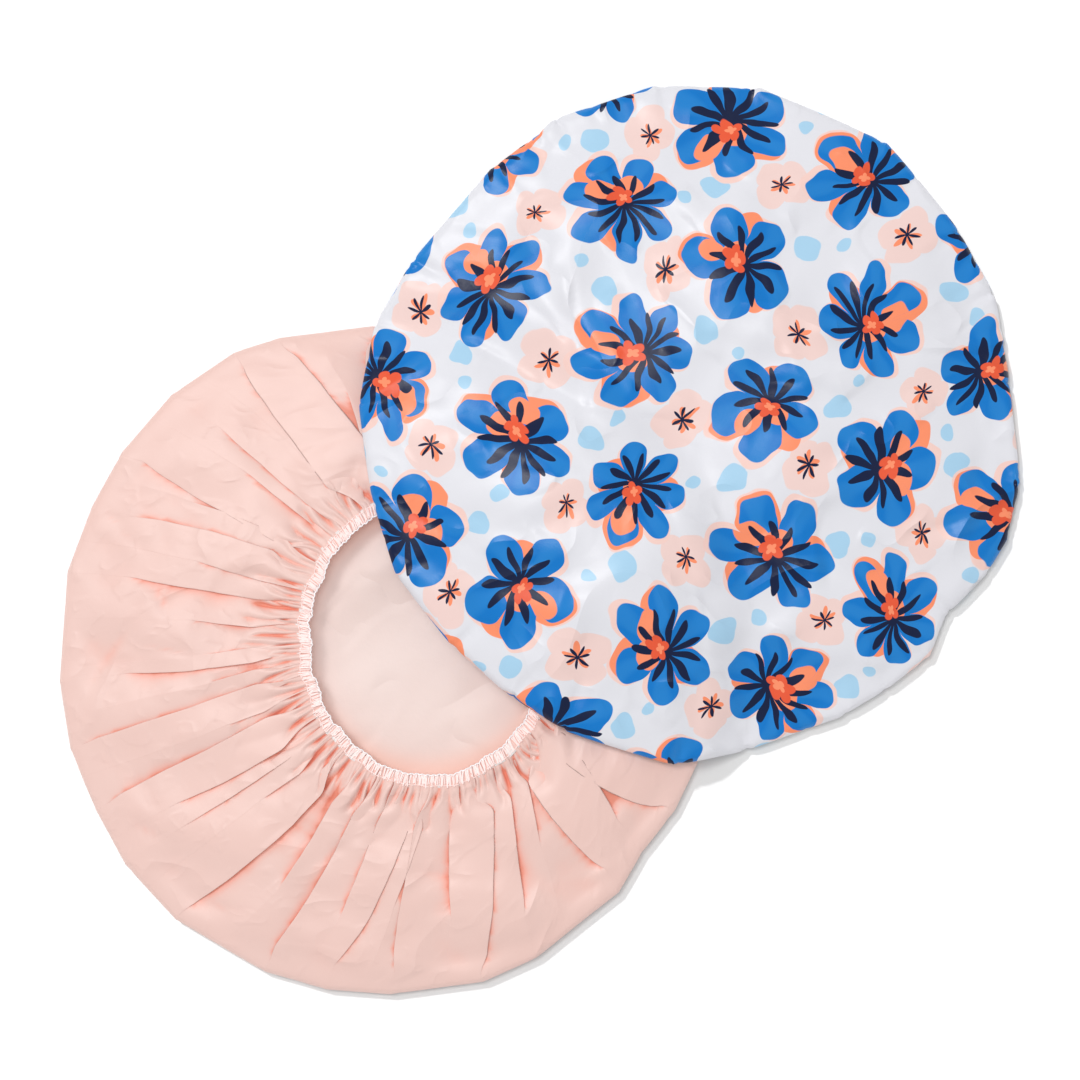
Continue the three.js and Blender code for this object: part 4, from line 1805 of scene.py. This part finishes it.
@dataclass(frozen=True)
class FloralPrint:
    """The satin's print: blue rosettes, pink blossoms and pale blue dots on a white ground."""

    nodes: Nodes
    scatter: Tree
    petals: Tree
    inks: PrintColours = PrintColours()
    motifs: PrintMotifs = PrintMotifs()
    layout: PrintLayout = PrintLayout()

    def colour(self, cloth: object) -> object:
        """Return the print's colour.

        Args:
            cloth: places in the flat cloth, in metres.

        Returns:
            The colour's socket.
        """
        nodes, layout = self.nodes, self.layout
        flat = nodes.vector("MULTIPLY", cloth, (1.0 / MM, 1.0 / MM, 1.0 / MM))
        place = nodes.vector("ADD", flat, nodes.wander(flat, *layout.sway))
        place = nodes.vector("ADD", place, nodes.wander(flat, *layout.shake))
        place = nodes.turned(place, layout.tilt)
        return self.rosettes(place, self.blossoms(place, self.dots(place, self.inks.ground)))

    def field(self, place: object, shift: Triple, jitter: float, seed: float) -> tuple[object, object]:
        """Lay out the motifs of one lattice.

        Args:
            place: places on the print.
            shift: the lattice's own shift.
            jitter: how far a motif may lie off its lattice point.
            seed: seed of the motifs' random numbers.

        Returns:
            Places around each motif, and its random numbers.
        """
        made = self.nodes.group(self.scatter, {
            "Cloth": place, "Width": self.layout.width, "Height": self.layout.height, "Shift": shift,
            "Jitter": jitter, "Seed": seed,
        })
        return made.outputs[0], made.outputs[1]

    def ring(self, local: object, petals: Petals, count: object | None = None,
             turn: object | None = None) -> tuple[object, object]:
        """Lay a ring of petals in a motif.

        Args:
            local: places around the motif.
            petals: the ring.
            count: number of petals where it isn't the ring's own.
            turn: the ring's turn where it isn't its own.

        Returns:
            How far each place is inside the ring, and how far across its petal.
        """
        made = self.nodes.group(self.petals, {
            "Local": self.nodes.vector("SUBTRACT", local, (*petals.middle, 0.0)),
            "Count": petals.count if count is None else count,
            "Radius": petals.radius, "Waist": petals.waist, "Power": petals.power,
            "Turn": petals.turn if turn is None else turn,
            "Soft": petals.soft,
        })
        return made.outputs[0], made.outputs[1]

    def over(self, local: object, under: object, rings: tuple[tuple[Petals, Colour], ...]) -> object:
        """Lay rings of petals over a colour.

        Args:
            local: places around the motif.
            under: the colour below.
            rings: the rings and their inks, from the lowest.

        Returns:
            The colour's socket.
        """
        for petals, ink in rings:
            inside, _ = self.ring(local, petals)
            under = self.nodes.mix(inside, under, ink)
        return under

    def rosettes(self, place: object, under: object) -> object:
        """Lay the large rosettes, whose petals number from 5 to 7, over a colour.

        Args:
            place: places on the print.
            under: the colour below.

        Returns:
            The colour's socket.
        """
        nodes, inks, motifs = self.nodes, self.inks, self.motifs
        local, chance = self.field(place, self.layout.rosette_shift, 5.0, 1.0)
        first, second, _ = nodes.split(chance)
        small, large = motifs.sizes
        size = nodes.math("MULTIPLY_ADD", first, large - small, small)
        local = nodes.vector("DIVIDE", local, nodes.joined(size, size, 1.0))
        more = nodes.math("FLOOR", nodes.math("MULTIPLY", second, motifs.more_counts))
        count = nodes.math("ADD", more, motifs.blue.count)
        tilt = nodes.math("MULTIPLY", first, 3.0)
        halo, _ = self.ring(local, motifs.halo, count, tilt)
        under = nodes.mix(halo, under, inks.halo)
        coral, _ = self.ring(local, motifs.coral, turn=tilt)
        under = nodes.mix(coral, under, inks.coral)
        blue, across = self.ring(local, motifs.blue, count, tilt)
        vein = nodes.math("MULTIPLY", nodes.step(across, 0.75, 1.0), motifs.vein)
        under = nodes.mix(blue, under, nodes.mix(vein, inks.blue, inks.light_blue))
        lip, _ = self.ring(local, motifs.lip, turn=tilt)
        under = nodes.mix(nodes.math("MULTIPLY", lip, blue), under, inks.coral)
        star, _ = self.ring(local, motifs.star, nodes.math("ADD", count, motifs.star_extra))
        under = nodes.mix(star, under, inks.navy)
        return self.over(local, under, ((motifs.heart, inks.orange), (motifs.seeds, inks.coral)))

    def blossoms(self, place: object, under: object) -> object:
        """Lay the small pale blossoms over a colour.

        Args:
            place: places on the print.
            under: the colour below.

        Returns:
            The colour's socket.
        """
        motifs, inks = self.motifs, self.inks
        local, _ = self.field(place, self.layout.blossom_shift, 3.0, 4.0)
        return self.over(local, under, tuple(zip(motifs.blossom, (inks.pink, inks.coral, inks.navy))))

    def dots(self, place: object, under: object) -> object:
        """Lay the pale blue dots over a colour."""
        local, _ = self.field(place, self.layout.dot_shift, 5.0, 7.0)
        return self.over(local, under, tuple((dot, self.inks.dot) for dot in self.motifs.dots))


# Stage

@dataclass(frozen=True)
class Studio:
    """The white table, the lights and the camera, with lengths in metres and turns in degrees."""

    table_half: float = 3.0
    table_grey: float = 0.68
    table_roughness: float = 0.9
    table_glow: float = 0.06
    sky_light: float = 0.535
    sky_seen: float = 0.465
    sun_energy: float = 0.96
    sun_size: float = 14.0
    sun_turn: Triple = (-19.0, -20.5, 0.0)
    shade_energy: float = 2.4
    shade_size: float = 4.0
    shade_turn: Triple = (-34.0, -36.0, 0.0)
    softbox_energy: float = 4.5
    softbox_size: float = 0.45
    softbox_place: Triple = (-0.1, 0.12, 1.4)
    softbox_turn: Triple = (-5.0, -4.0, 0.0)
    camera_height: float = 1.112
    camera_lens: float = 85.0

    def floor(self) -> Thing:
        """Make the white table: it keeps the caps' shadow, and the camera sees it lit to white.

        Returns:
            The table's object.
        """
        half = self.table_half / MM
        corners = np.array([[-half, -half, 0.0], [half, -half, 0.0], [half, half, 0.0], [-half, half, 0.0]])
        floor = mesh_object("floor", corners, np.array([[0, 1, 2, 3]]))
        material = bpy.data.materials.new("table_white")
        material.use_nodes = True
        nodes = Nodes(material.node_tree)
        shader = material.node_tree.nodes["Principled BSDF"]
        shader.inputs["Base Color"].default_value = (self.table_grey, self.table_grey, self.table_grey, 1.0)
        shader.inputs["Roughness"].default_value = self.table_roughness
        shader.inputs["Specular IOR Level"].default_value = 0.0
        seen = nodes.node("ShaderNodeLightPath").outputs["Is Camera Ray"]
        unlit = nodes.node("ShaderNodeEmission", {"Strength": 0.0}).outputs[0]
        glow = nodes.node("ShaderNodeEmission", {"Strength": self.table_glow}).outputs[0]
        lit = nodes.node("ShaderNodeMixShader", {0: seen, 1: unlit, 2: glow}).outputs[0]
        both = nodes.node("ShaderNodeAddShader", {0: shader.outputs[0], 1: lit}).outputs[0]
        nodes.feed(material.node_tree.nodes["Material Output"].inputs["Surface"], both)
        floor.data.materials.append(material)
        return floor

    def sky(self) -> None:
        """Make the white surroundings, which the camera sees at full strength."""
        world = bpy.data.worlds.new("studio")
        bpy.context.scene.world = world
        world.use_nodes = True
        nodes = Nodes(world.node_tree)
        seen = nodes.node("ShaderNodeLightPath").outputs["Is Camera Ray"]
        light = world.node_tree.nodes["Background"]
        light.inputs["Color"].default_value = (1.0, 1.0, 1.0, 1.0)
        strength = nodes.math("MULTIPLY_ADD", seen, self.sky_seen, self.sky_light)
        nodes.feed(light.inputs["Strength"], strength)

    @staticmethod
    def lamp(name: str, kind: str, energy: float, turn: Triple) -> Thing:
        """Make a lamp.

        Args:
            name: the lamp's name.
            kind: Blender's kind of light.
            energy: its strength.
            turn: its turns about the axes, in degrees.

        Returns:
            The lamp's object.
        """
        light = bpy.data.lights.new(name, kind)
        light.energy = energy
        thing = bpy.data.objects.new(name, light)
        thing.rotation_euler = tuple(math.radians(v) for v in turn)
        bpy.context.scene.collection.objects.link(thing)
        return thing

    def lights(self, floor: Thing) -> None:
        """Make the soft sun from the top left, the table's own low sun and the overhead softbox.

        Args:
            floor: the table, the only thing that the low sun lights.
        """
        sun = self.lamp("sun", "SUN", self.sun_energy, self.sun_turn)
        sun.data.angle = math.radians(self.sun_size)
        low = self.lamp("table_sun", "SUN", self.shade_energy, self.shade_turn)
        low.data.angle = math.radians(self.shade_size)
        table = bpy.data.collections.new("table_only")
        table.objects.link(floor)
        low.light_linking.receiver_collection = table
        box = self.lamp("softbox", "AREA", self.softbox_energy, self.softbox_turn)
        box.data.size = self.softbox_size
        box.location = self.softbox_place

    def camera(self) -> None:
        """Make the camera, which looks straight down at the table."""
        bpy.context.scene.view_settings.view_transform = "Standard"
        camera = bpy.data.cameras.new("camera")
        camera.lens = self.camera_lens
        eye = bpy.data.objects.new("camera", camera)
        eye.location = (0.0, 0.0, self.camera_height)
        bpy.context.scene.collection.objects.link(eye)
        bpy.context.scene.camera = eye


# Assembly

@dataclass(frozen=True)
class CapLook:
    """What sets one cap of the set apart from the other."""

    body: str
    shape: CapShape
    seed: int
    leans: tuple[int, ...]
    shell_slot: str
    thread_slot: str
    crown_heights: Triple = (0.6, 0.14, 0.7)
    crown_creases: tuple[Crease, ...] = ()
    lining_creases: tuple[Crease, ...] = ()
    rim_crease: float = 0.3
    short_rim_creases: int = 34
    short_pleats: tuple[int, int] = (24, 26)
    pleat_depths: Pair = (4.3, 1.1)
    lining_pleats: int = 26
    crown_sink: float = 0.4
    crown_room: float = 1.25
    lining_room: float = 1.6
    crown_crease_count: int = 24
    crown_lengths: Pair = (18.0, 60.0)
    crown_grid: tuple[int, int] = (28, 420)
    skirt_columns: tuple[int, int, int] = (6, 14, 23)


@dataclass(frozen=True)
class CapMaker:
    """Makes all pieces of one cap and hands them to the frame; its finishes are kept by slot."""

    look: CapLook
    finishes: dict[str, Finish]

    def settle(self, piece: Thing, node: str, slot: str) -> None:
        """Give a piece its finish and its body, and hide the CAD node that it stands for.

        Args:
            piece: the piece.
            node: the CAD node's name without the cap's.
            slot: name of its finish.
        """
        body = self.look.body
        piece.data.materials.append(self.finishes[slot])
        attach(piece, body)
        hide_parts(f"{body.removesuffix('_cap')}_{node}")
        LOG.info("%s: %d points, %d faces", piece.name, len(piece.data.vertices), len(piece.data.polygons))

    def gathers(self, rng: np.random.Generator, height: float) -> tuple[FineGathers, ...]:
        """Return the crumple next to the hem: a few long gathers, many short ones and a fine ruffle.

        Args:
            rng: source of the gathers' differences.
            height: share of the full height.

        Returns:
            The gathers, from the longest.
        """
        return (
            FineGathers.drawn(rng, 61, 0.7 * height, 0.66, 0.1),
            FineGathers.drawn(rng, 97, 0.9 * height, 0.76, -0.05),
            FineGathers.drawn(rng, 149, 1.1 * height, 0.81, 0.12),
            FineGathers.drawn(rng, 201, 1.25 * height, 0.86, -0.1),
        )

    def rim_creases(self) -> tuple[Array, Array, Array]:
        """Return the directions, lengths and depths of the short creases that run in from the rim.

        Returns:
            Three arrays: radians, millimetres and millimetres.
        """
        look = self.look
        rng = np.random.default_rng(look.seed + 9)
        corners = np.radians(np.array(look.shape.plan.outline.degrees, float))
        long_count, short_count = len(corners), look.short_rim_creases
        turns = np.concatenate([corners + rng.uniform(-0.03, 0.03, long_count),
                                rng.uniform(0.0, TURN, short_count)])
        lengths = np.concatenate([rng.uniform(8.0, 30.0, long_count), rng.uniform(4.0, 14.0, short_count)])
        depths = np.concatenate([rng.uniform(0.5, 1.5, long_count), rng.uniform(0.2, 0.8, short_count)])
        return turns, lengths, depths * look.rim_crease

    def shell(self) -> CapCloth:
        """Make the shell and return its cloth.

        Returns:
            The shell's cloth.
        """
        look = self.look
        rng = np.random.default_rng(look.seed)
        fan = PleatFan.drawn(rng, look.shape.plan.outline.degrees, look.leans, look.short_pleats[0],
                             look.pleat_depths[0])
        cloth = CapCloth(
            f"{look.body}_shell", look.shape, Layer.SHELL, fan, self.gathers(rng, 1.0),
            wrinkles=Wrinkles.drawn(look.seed + 1, 50.0, 17.0, 80, (0.8, 0.15, 1.8), lengths=(5.0, 24.0)),
            crown_wrinkles=Wrinkles.drawn(
                look.seed + 5, 58.0, 24.0, look.crown_crease_count, look.crown_heights,
                lengths=look.crown_lengths, placed=look.crown_creases,
            ),
            crown_depth=0.95, crown_sink=look.crown_sink, crown_room=look.crown_room,
            skirt_depth=0.0, hem_depth=0.0, skirt_room=0.6, crown_gap=2.6,
            rim_creases=self.rim_creases(), fine_columns=look.skirt_columns,
            crown_rings=look.crown_grid[0], crown_columns=look.crown_grid[1],
        )
        self.settle(cloth.build(), "shell", look.shell_slot)
        return cloth

    def lining(self, shell: CapCloth) -> None:
        """Make the lining, which lies inside the shell.

        Args:
            shell: the shell's cloth.
        """
        look = self.look
        rng = np.random.default_rng(look.seed + 50)
        count = look.lining_pleats
        places = np.sort(rng.uniform(0.0, 8.0, count) + np.arange(count) * 360.0 / count)
        fan = PleatFan.drawn(rng, tuple(float(v) for v in places), tuple(rng.choice([-1, 1], count)),
                             look.short_pleats[1], look.pleat_depths[1])
        cloth = CapCloth(
            f"{look.body}_lining", look.shape, Layer.LINING, fan, self.gathers(rng, 0.7),
            wrinkles=Wrinkles.drawn(look.seed + 51, 40.0, 15.0, 20, (0.2, 0.05, 0.3)),
            crown_wrinkles=Wrinkles.drawn(look.seed + 55, 66.0, 24.0, 8, (0.5, 0.1, 0.6),
                                          placed=look.lining_creases),
            crown_depth=3.1, crown_sink=1.4, crown_room=look.lining_room,
            skirt_depth=7.2, hem_depth=2.6, edge_out=1.05, outer=shell,
            rim_creases=self.rim_creases(), fine_columns=(6, 6, 6),
        )
        self.settle(cloth.build(), "lining", "lining_film")

    def trim(self, cloth: CapCloth) -> None:
        """Make the hem's threads and elastic.

        Args:
            cloth: the shell's cloth, whose ripples the seam follows.
        """
        thread = self.look.thread_slot
        hem = HemTrim(self.look.body, self.look.shape, cloth)
        self.settle(hem.looper(), "looper_thread", thread)
        self.settle(hem.chain(), "looper_thread", "white_thread")
        self.settle(hem.needle(), "needle_thread", thread)
        self.settle(hem.elastic(), "elastic", "elastic")
        self.settle(hem.tack(), "elastic_tack", thread)

    def make(self) -> None:
        """Make the whole cap."""
        cloth = self.shell()
        self.lining(cloth)
        self.trim(cloth)


PLAIN_OUTLINE = RimOutline(
    (10, 30, 52, 72, 91, 107, 115, 128, 141, 152, 164, 184, 196, 208, 219, 232, 250, 261, 272, 288,
     298, 316, 324, 333, 342),
    (1.01, 1.0, 0.995, 1.0, 1.009, 1.018, 1.026, 1.015, 0.997, 0.981, 0.977, 0.965, 0.968, 0.966,
     0.983, 0.995, 1.002, 1.008, 1.011, 1.023, 1.019, 1.011, 0.987, 1.005, 1.015),
)
PRINTED_OUTLINE = RimOutline(
    (7, 15, 23, 36, 48, 55, 78, 96, 114, 118, 128, 150, 163, 177, 193, 207, 222, 236, 248, 267, 279,
     297, 307, 316, 323, 333, 340, 350),
    (0.975, 0.982, 1.002, 1.002, 1.016, 1.039, 1.04, 1.028, 1.011, 0.99, 0.979, 0.977, 0.995, 0.995,
     0.98, 0.991, 0.976, 0.978, 0.992, 1.027, 1.003, 0.996, 0.998, 1.008, 0.966, 1.003, 1.02, 1.015),
)
PLAIN_PLAN = CapPlan((-70.333, -52.142), (21.6, 8.7), 53.7, 3.9, PLAIN_OUTLINE)
PRINTED_PLAN = CapPlan((65.167, 50.258), (10.0, 6.0), 54.0, 2.0, PRINTED_OUTLINE)
PLAIN_LEANS = (1, 1, -1, 1, 1, -1, 1, 1, 1, -1, 1, 1, -1, -1, 1, 1, -1, 1, -1, 1, 1, -1, 1, -1, 1)
PRINTED_LEANS = (1, -1, 1, 1, -1, 1, 1, 1, -1, 1, -1, 1, 1, -1, 1, 1, -1, 1, -1, 1, 1, -1, 1, -1, 1, 1,
                 -1, 1)

PRINTED_CROWN_CREASES = (
    Crease((118, 48), (141, 40), 1.8, 1.7),
    Crease((122, 60), (140, 70), 1.5, 1.6),
    Crease((96, -44), (134, -34), 2.4, 1.7),
    Crease((100, -62), (120, -86), 2.0, 1.9),
    Crease((84, -84), (96, -112), 2.2, -1.5),
    Crease((60, 44), (100, 52), 4.0, -1.3),
    Crease((66, 20), (98, 4), 2.6, 1.4),
    Crease((-60, 138), (-52, 116), 1.6, 2.2),
    Crease((-90, 44), (-60, 26), 2.6, 1.4),
    Crease((10, -60), (18, -96), 3.0, -1.4),
)
PLAIN_LINING_CREASES = (
    Crease((5, 35), (40, 60), 4.0, 2.2),
    Crease((10, 10), (50, 40), 6.0, -2.0),
    Crease((40, -25), (80, -5), 7.0, 1.4),
)


def main() -> None:
    """Build the scene."""
    logging.basicConfig(level=logging.INFO, format="%(message)s", stream=sys.stdout)
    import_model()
    studio = Studio()
    studio.camera()
    floor = studio.floor()
    studio.sky()
    studio.lights(floor)
    shop = FinishShop()
    # The cloths' fold and pit colours are painted shade; the cloths' and threads' glows are painted light.
    finishes = {
        "peach_satin": shop.cloth(ClothFinish(
            "peach_cloth", srgb(241, 207, 198), srgb(236, 160, 141), srgb(222, 139, 117), roughness=0.42,
            sheen=0.12, weave=0.00001, crumple=0.00005, crinkle=(0.00058, 24.0), glow=(0.0, 0.12, 0.03),
        )),
        "lining_film": shop.cloth(ClothFinish(
            "lining_film", srgb(229, 210, 204), srgb(236, 188, 171), srgb(234, 174, 152), roughness=0.42,
            sheen=0.0, weave=0.0, crumple=0.00008, crinkle=(0.0012, 11.0), glow=(0.08, 0.045, 0.0),
        )),
        "printed_satin": shop.printed("printed_cloth"),
        "elastic": shop.thread("elastic_tape", srgb(240, 236, 234), 0.8, 0.0),
        "peach_thread": shop.thread("peach_thread", srgb(255, 232, 228), 0.6, 0.16),
        "white_thread": shop.thread("white_thread", srgb(252, 250, 252), 0.6, 0.16),
    }
    plain = CapShape(PLAIN_PLAN)
    printed = DrapedShape(PRINTED_PLAN, Side.OPEN_DOWN, under=plain, wobble_seed=9)
    looks = (
        CapLook("plain_cap", plain, 12, PLAIN_LEANS, "peach_satin", "peach_thread",
                lining_creases=PLAIN_LINING_CREASES),
        CapLook("printed_cap", printed, 77, PRINTED_LEANS, "printed_satin", "white_thread",
                crown_heights=(1.1, 0.36, 2.0), crown_creases=PRINTED_CROWN_CREASES, rim_crease=1.5,
                crown_sink=0.9, crown_room=2.0, lining_room=0.6, crown_crease_count=64,
                crown_lengths=(8.0, 34.0), crown_grid=(42, 500), skirt_columns=(6, 9, 13)),
    )
    for look in looks:
        CapMaker(look, finishes).make()


if __name__ == "__main__":
    main()
